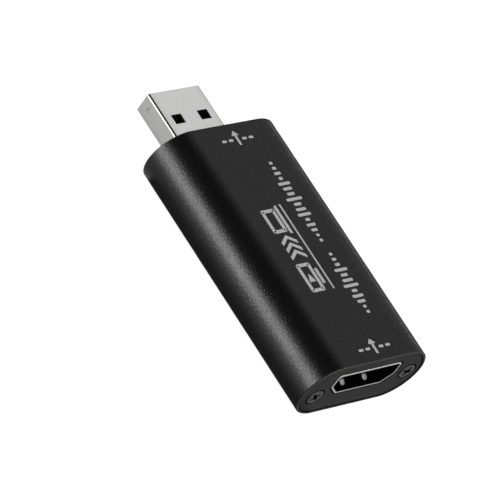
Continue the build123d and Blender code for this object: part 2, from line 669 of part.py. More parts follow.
def crystal():
    top = CRYSTAL_BASE_HEIGHT + CRYSTAL_HEIGHT
    base = slab(Rectangle(CRYSTAL_BASE_LENGTH, CRYSTAL_BASE_WIDTH), 0, CRYSTAL_BASE_HEIGHT)
    can = slab(SlotOverall(CRYSTAL_LENGTH, CRYSTAL_WIDTH), CRYSTAL_BASE_HEIGHT, top)
    can = fillet(can.faces().sort_by(Axis.Z)[-1].edges(), CRYSTAL_EDGE)
    return base, [can]


def chip_part(height):
    """A chip capacitor or resistor along X, as its body and its two terminals."""
    inner = CHIP_PART_LENGTH / 2 - TERMINAL_LENGTH
    half = CHIP_PART_WIDTH / 2
    body = block((-inner, inner), (-half, half), (0, height))
    ends = [block((inner, CHIP_PART_LENGTH / 2), (-half, half), (0, height))]
    ends.append(block((-CHIP_PART_LENGTH / 2, -inner), (-half, half), (0, height)))
    return body, ends


def inductor():
    """A moulded power inductor on two flat terminals."""
    outline = RectangleRounded(INDUCTOR_SIZE, INDUCTOR_SIZE, INDUCTOR_CORNER_R)
    body = slab(outline, INDUCTOR_TERMINAL_SHEET, INDUCTOR_HEIGHT)
    half = INDUCTOR_SIZE / 2
    across = (-half + INDUCTOR_CORNER_R, half - INDUCTOR_CORNER_R)
    z = (0, INDUCTOR_TERMINAL_SHEET)
    feet = [block((half - INDUCTOR_TERMINAL, half), across, z)]
    feet.append(block((-half, -half + INDUCTOR_TERMINAL), across, z))
    return body, feet


# How each kind is made, and the kinds that lie a quarter turn round on the board
KINDS = {
    "chip": capture_chip,
    "memory": memory_chip,
    "regulator": regulator,
    "surge": surge_array,
    "crystal": crystal,
    "inductor": inductor,
    "capacitor": lambda: chip_part(CAPACITOR_HEIGHT),
    "upright_capacitor": lambda: chip_part(CAPACITOR_HEIGHT),
    "resistor": lambda: chip_part(RESISTOR_HEIGHT),
}
TURNED_KINDS = ("inductor", "upright_capacitor")


def board_places():
    """The place of every part, by kind, with rows and columns spread evenly over the board."""
    start = Y_MOUTH + TAIL_END
    found = {kind: [] for kind in KINDS}
    for row, row_depth, row_y in zip(ROWS, ROW_DEPTHS, spread(ROW_DEPTHS, start, start + ROWS_LENGTH)):
        columns = spread([FOOTPRINTS[column[0]][0] for column in row], -RAIL_TIP, RAIL_TIP)
        for column, x in zip(row, columns):
            depths = [FOOTPRINTS[kind][1] for kind in column]
            spots = spread(depths, row_y - row_depth / 2, row_y + row_depth / 2)
            for kind, y in zip(column, spots):
                found[kind].append((x, y))
    return found


def mounted(*kinds):
    """Bodies and metal parts of some kinds, set on the board."""
    bodies = []
    metal = []
    for kind in kinds:
        body, pieces = KINDS[kind]()
        turn = 90 if kind in TURNED_KINDS else 0
        for x, y in board_places()[kind]:
            place = Pos(x, y, Z_BOARD) * Rot(0, 0, turn)
            bodies.append(place * body)
            metal += [place * piece for piece in pieces]
    return group(bodies), group(metal)


def all_nodes():
    """Every piece of the stick, by its name."""
    nodes = {
        "housing_tube": housing_tube(),
        "input_end_plate": input_end_plate(),
        "output_end_plate": output_end_plate(),
        "input_end_screws": input_end_screws(),
        "output_end_screws": output_end_screws(),
        "circuit_board": circuit_board(),
        "socket_shell": socket_shell(),
        "socket_insulator": socket_insulator(),
        "socket_upper_contacts": group(contact_row(1, UPPER_CONTACT_COUNT)),
        "socket_lower_contacts": group(contact_row(-1, LOWER_CONTACT_COUNT)),
        "socket_solder_joints": solder(socket_legs()),
        "plug_shell": plug_shell(),
        "plug_insulator": plug_insulator(),
        "plug_contacts": group(plug_contacts()),
        "plug_solder_joints": solder(plug_legs()),
    }
    for name, (side, x) in leaf_places().items():
        nodes[f"socket_spring_{name}"] = socket_spring(side, x)
    nodes["capture_chip_body"], nodes["capture_chip_leads"] = mounted("chip")
    nodes["memory_chip_body"], nodes["memory_chip_leads"] = mounted("memory")
    nodes["regulator_bodies"], nodes["regulator_leads"] = mounted("regulator")
    nodes["surge_array_bodies"], nodes["surge_array_leads"] = mounted("surge")
    nodes["crystal_base"], nodes["crystal_can"] = mounted("crystal")
    nodes["inductor_body"], nodes["inductor_terminals"] = mounted("inductor")
    nodes["capacitor_bodies"], nodes["capacitor_terminals"] = mounted("capacitor", "upright_capacitor")
    nodes["resistor_bodies"], nodes["resistor_terminals"] = mounted("resistor")
    return nodes


os.makedirs("parts", exist_ok=True)
for name, shape in all_nodes().items():
    export_step(shape, f"parts/{name}.step")
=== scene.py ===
import math

import bmesh
import bpy
import numpy as np
from mathutils import Matrix, Vector
from mathutils.geometry import tessellate_polygon

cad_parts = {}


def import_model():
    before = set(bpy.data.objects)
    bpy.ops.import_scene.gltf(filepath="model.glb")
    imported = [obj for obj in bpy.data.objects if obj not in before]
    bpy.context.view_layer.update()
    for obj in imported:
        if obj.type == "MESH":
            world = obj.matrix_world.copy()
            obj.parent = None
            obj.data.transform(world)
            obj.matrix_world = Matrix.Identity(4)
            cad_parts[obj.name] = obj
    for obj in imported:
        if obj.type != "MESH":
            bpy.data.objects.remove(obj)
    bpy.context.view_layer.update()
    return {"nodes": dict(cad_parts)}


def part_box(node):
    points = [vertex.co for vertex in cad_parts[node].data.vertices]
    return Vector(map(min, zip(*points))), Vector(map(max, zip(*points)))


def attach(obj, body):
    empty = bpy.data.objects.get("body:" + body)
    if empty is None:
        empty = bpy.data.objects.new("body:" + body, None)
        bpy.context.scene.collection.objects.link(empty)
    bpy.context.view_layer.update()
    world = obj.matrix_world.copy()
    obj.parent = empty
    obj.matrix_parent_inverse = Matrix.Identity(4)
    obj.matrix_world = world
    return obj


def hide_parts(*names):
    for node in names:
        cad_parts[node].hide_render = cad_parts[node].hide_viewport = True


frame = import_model()

# A video capture stick: a black anodised tube with a plate at each end, a video socket in one plate
# and a computer plug in the other. All shapes are worked out in millimetres, in the frame's axes.
MM = 0.001
Y_AXIS = 1
Z_AXIS = 2


def box_mm(node):
    """Lowest and highest corner of a node, in millimetres."""
    low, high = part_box(node)
    return np.array(low) / MM, np.array(high) / MM


tube_low, tube_high = box_mm("housing_tube")
TUBE_THICKNESS = tube_high[2]
TUBE_WIDTH = 28.0
TUBE_WALL = 1.2
TUBE_RIM = 0.5
TUBE_EDGE = 0.15
TUBE_RADII = (0.1, 0.08, 0.05, 0.03, 0.03)  # from the outer edge of an end to the floor of its pocket
Z_MID = TUBE_THICKNESS / 2
Y_INPUT = tube_low[1]
Y_OUTPUT = tube_high[1]

PLATE_THICKNESS = 1.4
PLATE_SETBACK = 0.1  # how far the face of a plate lies behind the end of the tube
PLATE_INSET = 0.7
PLATE_BAND = 0.2  # how far the rounded edges of a plate reach over its faces
PLATE_RIM_RADII = (0.12, 0.04)  # these and the next two: from the front of a plate to its back
PLATE_APERTURE_RADII = (0.1, 0.03)
PLATE_HOLE_RADII = (0.1, 0.04, 0.03, 0.03)
COUNTERBORE_DEPTH = 0.7
COUNTERBORE_R = 1.9
SCREW_HOLE_R = 1.15
Y_INPUT_FACE = Y_INPUT + PLATE_SETBACK
Y_OUTPUT_FACE = Y_OUTPUT - PLATE_SETBACK

SCREW_HEAD_R = 1.65
SCREW_HEAD_HEIGHT = 0.8
SCREW_CROWN = 0.12  # how far the head falls from its middle to its rim
SCREW_HEAD_RADII = (0.4, 0.12, 0.08)  # where the crown starts to fall, and at the rim's top and foot
SCREW_SEAT = 0.55  # how far the underside of the head reaches in from the rim
SCREW_CREST_R = 1.0
SCREW_ROOT_R = 0.8
SCREW_PITCH = 0.5
SCREW_REACH = 5.0
SCREW_POINT = 0.3  # radius of the tip, as a share of the shank's
THREAD_PEAK = 1.6  # height at which the flanks of a thread would meet, as a share of its depth
THREAD_SLOPE = 3.6  # of its flanks, in depths per pitch
THREAD_RUN_IN = 0.4
THREAD_RUN_OUT = 0.9
THREAD_STEPS = 16  # along each pitch
SCREW_SIDES = 72
RECESS_LENGTH = 2.3
RECESS_WIDTH = 0.6
RECESS_DEPTH = 0.6
RECESS_LIP = 0.08  # how far the rounded edge of the recess spreads
RECESS_DRAFT = 0.22  # how far its walls lean in towards its floor
RECESS_FLOOR = 0.04  # and how far its floor's rounded edge reaches in from them
RECESS_RADII = (0.06, 0.02)
RECESS_CORNER_RADII = (0.07, 0.28, 0.28)  # between two arms, and at the two corners of an arm's end
INPUT_SCREW_TURNS = (35, -20)  # degrees
OUTPUT_SCREW_TURNS = (12, 40)

screws_low, screws_high = box_mm("input_end_screws")
SCREW_PLACES = (screws_low[::2] + SCREW_HEAD_R, screws_high[::2] - SCREW_HEAD_R)  # in X and Z

PORT_R = 1.75
PORT_BORE_R = 1.02
PORT_SLIT = 0.8
PORT_STEPS = (40, 30)  # round its outer arc and its inner one
PORT_WEB = 1.6
WEB_CORNER_R = 0.1
RAIL_GRIP = 0.7
RAIL_THICKNESS = 0.8
GUIDE_WALL = 0.8
GUIDE_CORNER_R = 0.06
BOARD_FIT = 0.1
board_low, board_high = box_mm("circuit_board")

socket_low, socket_high = box_mm("socket_shell")
SOCKET_WIDTH = 14.0
SOCKET_HEIGHT = 4.55
SOCKET_CHAMFER = 1.9
SOCKET_CORNER_R = 0.5
SOCKET_SHEET = 0.4
SOCKET_LIP_R = 0.06
SOCKET_APERTURE = 0.7  # from the mouth of the socket to the edge of the plate's opening
SOCKET_REAR_OPENING = 9.4
SOCKET_LEG_DEPTHS = (4.4, 10.0)
Y_MOUTH = socket_low[1]
Z_SOCKET = socket_high[2] - SOCKET_SHEET - SOCKET_HEIGHT / 2
LEG_WIDTH = 1.6
LEG_STUB = 0.8
LEG_CORNER_R = 0.08
LEG_TAPER = 0.1  # how far the foot of a leg is drawn in
LEG_TAPER_LENGTH = 0.35
BURIED = 0.02  # how far what ends in a sheet stays inside its faces

LEAF_SPACING = 5.2
LEAF_SHIFT = 0.4  # how far to the left of the socket's middle the leaves are centred
LEAF_WIDTH = 1.1
LEAF_SHEET = 0.25
LEAF_BEND_R = 0.6
LEAF_TIP_DEPTH = 0.9
LEAF_CREST_DEPTH = 1.85
LEAF_ROOT_DEPTH = 7.0
LEAF_CREST = 0.65
LEAF_TIP_RISE = 0.15
LEAF_FIT = 0.15
LEAF_ROOT_GAP = 0.08
LEAF_CUP = 0.14  # how far the middle of the crest is pressed out
LEAF_EDGE_R = 0.09
LEAF_TIP_SHARE = 0.02  # of a half width: where the narrowing of the tip is cut off
LEAF_STEPS = 13  # across a leaf, and along each of its straight runs

plug_low, plug_high = box_mm("plug_shell")
PLUG_WIDTH = 12.0
PLUG_HEIGHT = 4.5
PLUG_SHEET = 0.3
PLUG_CORNER_R = 0.5
PLUG_TIP_R = 0.13
PLUG_RISE = 0.5  # from the board up to the plug's middle
TAB_CORNER_R = 0.05
PLUG_APERTURE = 0.15  # from the plug to the edge of the plate's opening
PLUG_LEG_SETBACK = 2.0
WINDOW_SPACING = 6.0
WINDOW_WIDTH = 2.3
WINDOW_LENGTH = 2.0
WINDOW_DEPTH = 5.16
DIMPLE_R = 0.46
DIMPLE_DEPTH = 0.17
DIMPLE_SETBACK = 2.0
DIMPLE_STEPS = 19
SEAM_WIDTH = 0.08
Y_TIP = plug_high[1]
Z_PLUG = board_high[2] + PLUG_RISE

ROUND_STEPS = 28  # on each half circle of the tube and its plates
OUTSIDE = 50.0  # a distance past everything
EVERYWHERE = (-OUTSIDE, OUTSIDE)
SAME_POINT = 1e-6  # two points closer than this are one
TINY = 1e-9  # and a product of distances under this means that an edge only touches a line


def placed(name, data):
    """A new object in the scene, with a mesh, a lamp or a camera as its data."""
    made = bpy.data.objects.new(name, data)
    bpy.context.scene.collection.objects.link(made)
    return made


# Outlines

def corner_arcs(earlier, corners, later, radii, steps):
    """An arc at each corner, between the corners before and after it. It starts where a circle of its
    radius touches the edge before, and turns the outward normal evenly to that of the edge after.
    Returns a row of points and a row of unit normals for each corner."""
    radii = np.broadcast_to(np.asarray(radii, float), len(corners))
    before, after = corners - earlier, later - corners
    before /= np.linalg.norm(before, axis=1)[:, None]
    after /= np.linalg.norm(after, axis=1)[:, None]
    cross = before[:, 0] * after[:, 1] - before[:, 1] * after[:, 0]
    turn = np.arctan2(cross, (before * after).sum(1))
    signed = np.sign(turn) * radii
    reach = radii * np.tan(np.abs(turn) / 2)
    normal = np.stack([before[:, 1], -before[:, 0]], -1)
    centre = corners - before * reach[:, None] - normal * signed[:, None]
    angle = turn[:, None] * np.linspace(0, 1, steps + 1)
    c, s = np.cos(angle), np.sin(angle)
    normals = np.stack([c * normal[:, :1] - s * normal[:, 1:], s * normal[:, :1] + c * normal[:, 1:]], -1)
    return centre[:, None] + normals * signed[:, None, None], normals


def rounded(corners, radii, steps=4):
    """A closed outline through corners, listed anticlockwise, with an arc at each: its points, each
    kept once, and their unit normals."""
    corners = np.asarray(corners, float)
    beside = np.roll(corners, 1, axis=0), corners, np.roll(corners, -1, axis=0)
    points, normals = (rows.reshape(-1, 2) for rows in corner_arcs(*beside, radii, steps))
    apart = np.linalg.norm(np.roll(points, -1, axis=0) - points, axis=1) > SAME_POINT
    return points[apart], normals[apart]


def refined(outline, axis, values):
    """The same outline with further points where its edges cross some values of X (0) or Z (1)."""
    points, normals = outline
    count = len(points)
    start, end = points[:, axis], np.roll(points, -1, axis=0)[:, axis]
    keys = [np.arange(count, dtype=float)]
    for value in values:
        crossed = (start - value) * (end - value) < -TINY
        keys.append(np.flatnonzero(crossed) + (value - start[crossed]) / (end - start)[crossed])
    keys = np.unique(np.concatenate(keys))
    first = np.floor(keys).astype(int)
    share = (keys - first)[:, None]
    second = (first + 1) % count
    grown = normals[first] * (1 - share) + normals[second] * share
    grown /= np.linalg.norm(grown, axis=1)[:, None]
    return points[first] * (1 - share) + points[second] * share, grown


def circle(x, z, radius, steps):
    """A round outline: its points lie at equal angles."""
    angle = np.linspace(0, 2 * np.pi, steps, endpoint=False)
    normals = np.stack([np.cos(angle), np.sin(angle)], -1)
    return np.array([x, z]) + radius * normals, normals


def rectangle(x, z, radius, steps=4):
    """A rectangle between two values of each coordinate, with round corners."""
    return rounded([(x[0], z[0]), (x[1], z[0]), (x[1], z[1]), (x[0], z[1])], radius, steps)


def turned(outline, degrees, x, z):
    """An outline drawn round zero, turned and then moved to a place."""
    c, s = math.cos(math.radians(degrees)), math.sin(math.radians(degrees))
    turn = np.array([[c, s], [-s, c]])
    return outline[0] @ turn + (x, z), outline[1] @ turn


def bent(corners, radii, start=0.0, way=1, steps=4):
    """An open path through corners, with an arc at each but the first and the last. Its second values
    are counted from a start, one way or the other."""
    corners = np.asarray(corners, float)
    arcs, _ = corner_arcs(corners[:-2], corners[1:-1], corners[2:], radii, steps)
    path = np.concatenate([corners[:1], arcs.reshape(-1, 2), corners[-1:]])
    return path * (1, way) + (0, start)


class Shell:
    """The points and faces of one piece, gathered from bands and caps, in millimetres."""

    def __init__(self):
        self.points = np.empty((0, 3))
        self.faces = []

    def add(self, points):
        """Adds points and returns their numbers, in the same arrangement."""
        numbers = len(self.points) + np.arange(points.shape[0] * points.shape[1])
        self.points = np.concatenate([self.points, points.reshape(-1, 3)])
        return numbers.reshape(points.shape[:2])

    def quads(self, numbers, loop=False):
        """Quads between rows of numbers, round each closed row. A loop closes the columns too."""
        down = np.roll(numbers, -1, axis=0) if loop else numbers[1:]
        here = numbers if loop else numbers[:-1]
        right, across = np.roll(here, -1, axis=1), np.roll(down, -1, axis=1)
        self.faces += np.stack([here, right, across, down], -1).reshape(-1, 4).tolist()

    def sweep(self, outline, path, axis=Y_AXIS, loop=False):
        """A band. Its point (j, i) is outline point i, moved out along its normal by the path's growth
        at step j, at that step's place along the axis."""
        points, normals = outline
        growth, along = np.asarray(path, float).T
        flat = points + growth[:, None, None] * normals
        rings = np.empty(flat.shape[:2] + (3,))
        rings[..., [i for i in range(3) if i != axis]] = flat
        rings[..., axis] = along[:, None]
        numbers = self.add(rings)
        self.quads(numbers, loop=loop)
        return numbers[0], numbers[-1]

    def cap(self, loops, axis=Y_AXIS):
        """A flat face between one outer loop of points and any loops inside it."""
        loops = [np.asarray(loop) for loop in loops]
        flat = np.delete(self.points, axis, axis=1)
        drawn = [[Vector((*flat[n], 0)) for n in loop] for loop in loops]
        numbers = np.concatenate(loops)
        self.faces += numbers[np.array(tessellate_polygon(drawn))].tolist()

    def solid(self, outline, path, axis=Y_AXIS):
        """A sweep closed by a cap at each end."""
        for loop in self.sweep(outline, path, axis):
            self.cap([loop], axis)

    def piece(self, name, body="stick", sharp=32, bevel=0):
        """The finished object: closed faces turned outwards, smooth but for edges past an angle."""
        mesh = bpy.data.meshes.new(name)
        mesh.from_pydata((self.points * MM).tolist(), [], self.faces)
        built = bmesh.new()
        built.from_mesh(mesh)
        bmesh.ops.recalc_face_normals(built, faces=built.faces)
        built.to_mesh(mesh)
        built.free()
        mesh.shade_smooth()
        piece = placed(name, mesh)
        if bevel:
            edge = piece.modifiers.new("edges", "BEVEL")
            edge.width = bevel * MM
            edge.segments = 2
            edge.limit_method = "ANGLE"
            edge.angle_limit = math.radians(sharp)
            edge.harden_normals = True
        else:
            mesh.set_sharp_from_angle(angle=math.radians(sharp))
            even = piece.modifiers.new("flat_faces", "WEIGHTED_NORMAL")
            even.keep_sharp = True
        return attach(piece, body)


# Housing

def stadium(inset=0.0):
    """The section of the tube less an inset: its sides are half circles."""
    half, top = TUBE_WIDTH / 2 - inset, TUBE_THICKNESS - inset
    return rectangle((-half, half), (inset, top), (top - inset) / 2, ROUND_STEPS)


def port_outline(x, z):
    """A screw port: a ring about the screw with a slit at its top, as two arcs."""
    arcs = []
    for radius, steps, way in zip((PORT_R, PORT_BORE_R), PORT_STEPS, (1, -1)):
        gap = math.asin(PORT_SLIT / 2 / radius)
        angle = np.pi / 2 + np.linspace(gap, 2 * np.pi - gap, steps)[::way]
        arcs.append(radius * np.stack([np.cos(angle), np.sin(angle)], -1))
    points = np.concatenate(arcs) + (x, z)
    return points, np.zeros_like(points)


def web_outline(x, z):
    """The web from a port out to the tube's wall, inside which both of its ends are buried."""
    arc_x = math.copysign((TUBE_WIDTH - TUBE_THICKNESS) / 2, x)
    away = math.degrees(math.atan2(z - Z_MID, x - arc_x))
    start = (PORT_R + PORT_BORE_R) / 2
    end = Z_MID - TUBE_WALL / 2 - math.hypot(z - Z_MID, x - arc_x)
    return turned(rectangle((start, end), (-PORT_WEB / 2, PORT_WEB / 2), WEB_CORNER_R), away, x, z)


def guide_outline(side):
    """A rib that stands on the tube's floor, with a groove that holds the board's edge."""
    groove_end = board_high[0] + BOARD_FIT
    tip = groove_end - RAIL_GRIP
    wall = tip + RAIL_GRIP + GUIDE_WALL
    low, high = board_low[2], board_high[2] + BOARD_FIT
    floor, top = TUBE_WALL / 2, high + RAIL_THICKNESS
    corners = [(tip, floor), (wall, floor), (wall, top), (tip, top)]
    corners += [(tip, high), (groove_end, high), (groove_end, low), (tip, low)]
    points = np.array(corners)
    if side < 0:
        points = points[::-1] * (-1, 1)
    return rounded(points, GUIDE_CORNER_R, steps=3)


def housing_tube():
    """The tube's wall is one closed profile of inset and place along Y, carried round the section."""
    shell = Shell()
    edge, pocket = TUBE_EDGE, PLATE_SETBACK + PLATE_THICKNESS
    end = [(0, edge), (-edge, 0), (-TUBE_RIM, 0), (-TUBE_RIM, pocket), (-TUBE_WALL, pocket)]
    corners = [(g, Y_INPUT + y) for g, y in end] + [(g, Y_OUTPUT - y) for g, y in end[::-1]]
    profile, _ = rounded(corners, TUBE_RADII + TUBE_RADII[::-1], steps=5)
    shell.sweep(stadium(), profile, loop=True)
    inner = [(0, Y_INPUT + pocket), (0, Y_OUTPUT - pocket)]
    for x, z in SCREW_PLACES:
        shell.solid(port_outline(x, z), inner)
        shell.solid(web_outline(x, z), inner)
    for side in (-1, 1):
        shell.solid(guide_outline(side), inner)
    return shell.piece("housing_tube_skin", sharp=35)


def end_plate(name, y_face, inward, aperture):
    """A plate with an opening and two counterbored holes. Every edge is a path of growth and depth,
    carried round its outline, and the two faces lie between the ends of those paths."""
    shell = Shell()

    def edge(outline, corners, radii):
        return shell.sweep(outline, bent(corners, radii, y_face, inward))

    depth, band = PLATE_THICKNESS, PLATE_BAND
    corners = [(-band, 0), (0, 0), (0, depth), (-band, depth)]
    loops = [edge(stadium(PLATE_INSET), corners, PLATE_RIM_RADII)]
    corners = [(band, 0), (0, 0), (0, depth), (band, depth)]
    loops.append(edge(aperture, corners, PLATE_APERTURE_RADII))
    for x, z in SCREW_PLACES:
        hole = circle(x, z, SCREW_HOLE_R, 2 * ROUND_STEPS)
        sink = COUNTERBORE_R - SCREW_HOLE_R
        corners = [(sink + band, 0), (sink, 0), (sink, COUNTERBORE_DEPTH), (0, COUNTERBORE_DEPTH)]
        corners += [(0, depth), (band, depth)]
        loops.append(edge(hole, corners, PLATE_HOLE_RADII))
    shell.cap([front for front, back in loops])
    shell.cap([back for front, back in loops])
    return shell.piece(name, sharp=35)


def cross_outline(turn, x, z):
    """The cross recess of a screw: two bars across each other, with round ends."""
    long, half = RECESS_LENGTH / 2, RECESS_WIDTH / 2
    arm = np.array([(half, half), (half, long), (-half, long)])
    corners = []
    for _ in range(4):
        corners.append(arm)
        arm = arm @ [[0, 1], [-1, 0]]
    return turned(rounded(np.concatenate(corners), np.tile(RECESS_CORNER_RADII, 4)), turn, x, z)


def screw(shell, x, z, y_seat, outward, turn):
    """One screw: a head with a low crown, a cross whose arms are grooves of V section, and a shank whose
    radius follows a helix, a thread crest coming once per pitch and moving on with the angle."""
    top = y_seat + outward * SCREW_HEAD_HEIGHT
    crown = SCREW_HEAD_R - RECESS_LENGTH / 2 - 2 * RECESS_LIP
    high, shoulder = SCREW_HEAD_HEIGHT, SCREW_HEAD_HEIGHT - SCREW_CROWN
    corners = [(-crown, high), (-crown / 2, high), (0, shoulder), (0, 0), (-SCREW_SEAT, 0)]
    head = bent(corners, SCREW_HEAD_RADII, y_seat, outward, steps=6)
    rim, under = shell.sweep(circle(x, z, SCREW_HEAD_R, SCREW_SIDES), head)
    wall = (-RECESS_DRAFT, RECESS_DEPTH), (-RECESS_DRAFT - RECESS_FLOOR, RECESS_DEPTH)
    cross = bent([(RECESS_LIP, 0), (0, 0), *wall], RECESS_RADII, top, -outward, steps=3)
    mouth, bottom = shell.sweep(cross_outline(turn, x, z), cross)
    shell.cap([rim, mouth])
    shell.cap([bottom])
    steps = int(SCREW_REACH / SCREW_PITCH * THREAD_STEPS)
    along = np.linspace(0, 1, steps + 1)[:, None] * SCREW_REACH
    left = SCREW_REACH - along
    angle = np.linspace(0, 2 * np.pi, SCREW_SIDES, endpoint=False)[None]
    phase = along / SCREW_PITCH + angle / (2 * np.pi)
    crest = np.clip(THREAD_PEAK - THREAD_SLOPE * np.abs(phase % 1 - 0.5), 0, 1)
    fade = np.clip(along / THREAD_RUN_IN, 0, 1) * np.clip(left / THREAD_RUN_OUT, 0, 1)
    taper = np.clip(left / SCREW_ROOT_R, SCREW_POINT, 1)
    radius = (SCREW_ROOT_R + (SCREW_CREST_R - SCREW_ROOT_R) * crest * fade) * taper
    rings = np.stack([x + radius * np.cos(angle), y_seat - outward * along + 0 * angle,
                      z + radius * np.sin(angle)], -1)
    shank = shell.add(rings)
    shell.quads(shank)
    shell.cap([under, shank[0]])
    shell.cap([shank[-1]])


def screws(name, y_face, inward, turns):
    """The two screws of a plate."""
    shell = Shell()
    for (x, z), turn in zip(SCREW_PLACES, turns):
        screw(shell, x, z, y_face + inward * COUNTERBORE_DEPTH, -inward, turn)
    return shell.piece(name, sharp=50)


# Sheet metal

def round_end(y, inward, sheet, radius):
    """The steps of a sheet's path over its rounded end, from its front to its full thickness: at an
    angle a of up to 90 degrees, each side stands off the full sheet by radius * (1 - sin a), at
    radius * (1 - cos a) behind the front."""
    angle = np.linspace(0, np.pi / 2, 6)
    off = radius * (1 - np.sin(angle))
    return np.stack([off, y + inward * radius * (1 - np.cos(angle)), sheet - 2 * off], -1)


def sheet_metal(shell, outline, path, openings, press=None):
    """A bent sheet. Its point (i, j, k) is outline point i, moved out by the growth at step j and by
    k times the thickness there, at step j's place along Y. Cells whose middle lies in an opening, a
    range of X, Y and Z, are left out, and the cut edges are walls between the sheet's two sides."""
    points, normals = outline
    growth, along, thickness = np.asarray(path, float).T
    out = growth[:, None, None] + thickness[:, None, None] * np.array([0, 1])
    flat = points[None, :, None] + out[..., None] * normals[None, :, None]
    grid = np.empty(flat.shape[:3] + (3,))
    grid[..., [0, 2]] = flat
    grid[..., 1] = along[:, None, None]
    if press is not None:
        pushed = press(grid)
        grid[..., [0, 2]] -= pushed[..., None] * normals[None, :, None]
    rows, columns = grid.shape[:2]
    numbers = shell.add(grid.reshape(rows * columns, 2, 3)).reshape(rows, columns, 2)
    right = np.roll(grid, -1, axis=1)
    middle = (grid[:-1] + grid[1:] + right[:-1] + right[1:])[..., 1, :] / 4
    solid = np.ones(middle.shape[:2], bool)
    for ranges in openings:
        low, high = np.transpose(ranges)
        solid &= ~np.all((middle > low) & (middle < high), axis=-1)
    beyond = np.roll(numbers, -1, axis=1)
    a, b, c, d = numbers[:-1], numbers[1:], beyond[:-1], beyond[1:]
    for side in (0, 1):
        shell.faces += np.stack([a, c, d, b], -1)[:, :, side][solid].tolist()
    beside = np.roll(solid, 1, axis=1)
    edge = solid != beside
    shell.faces += np.stack([a[..., 0], a[..., 1], b[..., 1], b[..., 0]], -1)[edge].tolist()
    padded = np.pad(solid, ((1, 1), (0, 0)))
    edge = padded[1:] != padded[:-1]
    walls = [numbers[..., 0], beyond[..., 0], beyond[..., 1], numbers[..., 1]]
    shell.faces += np.stack(walls, -1)[edge].tolist()


def stations(values, low, high):
    """Places along Y from low to high, with some in between."""
    values = np.array([v for v in values if low < v < high])
    return np.unique(np.round(np.concatenate([[low, high], values]), 6))


def leg(shell, x, y, top):
    """A flat leg through the board, narrowed at its foot."""
    foot = board_low[2] - LEG_STUB
    path = [(-LEG_TAPER, foot), (0, foot + LEG_TAPER_LENGTH), (0, top)]
    shell.solid(rectangle(x, y, LEG_CORNER_R, steps=3), path, Z_AXIS)


def socket_outline(growth=0.0):
    """The mouth of the socket: a rectangle with two cut lower corners, grown by an even wall."""
    half, low = SOCKET_WIDTH / 2, -SOCKET_HEIGHT / 2
    cut = SOCKET_CHAMFER
    corners = [(-half + cut, low), (half - cut, low), (half, low + cut), (half, -low), (-half, -low),
               (-half, low + cut)]
    points, normals = rounded(corners, SOCKET_CORNER_R, steps=8)
    return points + growth * normals + (0, Z_SOCKET), normals


def leaf_places():
    """The side, up or down, and the X place of each spring leaf, by name."""
    sides = {"top": 1, "bottom": -1}
    edges = {"left": -LEAF_SHIFT - LEAF_SPACING / 2, "right": LEAF_SPACING / 2 - LEAF_SHIFT}
    return {f"{a}_{b}": (sides[a], edges[b]) for a in sides for b in edges}


def socket_shell():
    """The socket's sheet, with slots for its leaves and a cut at the rear, and its four legs."""
    shell = Shell()
    half = LEAF_WIDTH / 2 + LEAF_FIT
    slot = (Y_MOUTH + LEAF_TIP_DEPTH - LEAF_FIT, Y_MOUTH + LEAF_ROOT_DEPTH + LEAF_ROOT_GAP)
    rear = Y_MOUTH + SOCKET_REAR_OPENING
    flat = SOCKET_WIDTH / 2 - SOCKET_CHAMFER
    openings = [((-flat, flat), (rear, OUTSIDE), (-OUTSIDE, Z_SOCKET))]
    for side, x in leaf_places().values():
        z = (Z_SOCKET, OUTSIDE) if side > 0 else (-OUTSIDE, Z_SOCKET)
        openings.append(((x - half, x + half), slot, z))
    across = [x + s * half for _, x in leaf_places().values() for s in (-1, 1)]
    just_inside = flat - 1e-4  # so that no cell lies across the ends of the cut at the rear
    outline = refined(socket_outline(), 0, sorted(set(across)) + [-just_inside, just_inside])
    front = round_end(Y_MOUTH, 1, SOCKET_SHEET, SOCKET_LIP_R)
    along = stations([*slot, rear], front[-1, 1], socket_high[1])
    path = [*front, *((0, y, SOCKET_SHEET) for y in along[1:])]
    sheet_metal(shell, outline, path, openings)
    for side in (-1, 1):
        inner, outer = SOCKET_WIDTH / 2 + BURIED, SOCKET_WIDTH / 2 + SOCKET_SHEET - BURIED
        x = sorted((side * inner, side * outer))
        for depth in SOCKET_LEG_DEPTHS:
            leg(shell, x, (Y_MOUTH + depth - LEG_WIDTH / 2, Y_MOUTH + depth + LEG_WIDTH / 2), Z_SOCKET)
    return shell.piece("socket_shell_sheet", sharp=40, bevel=0.05)


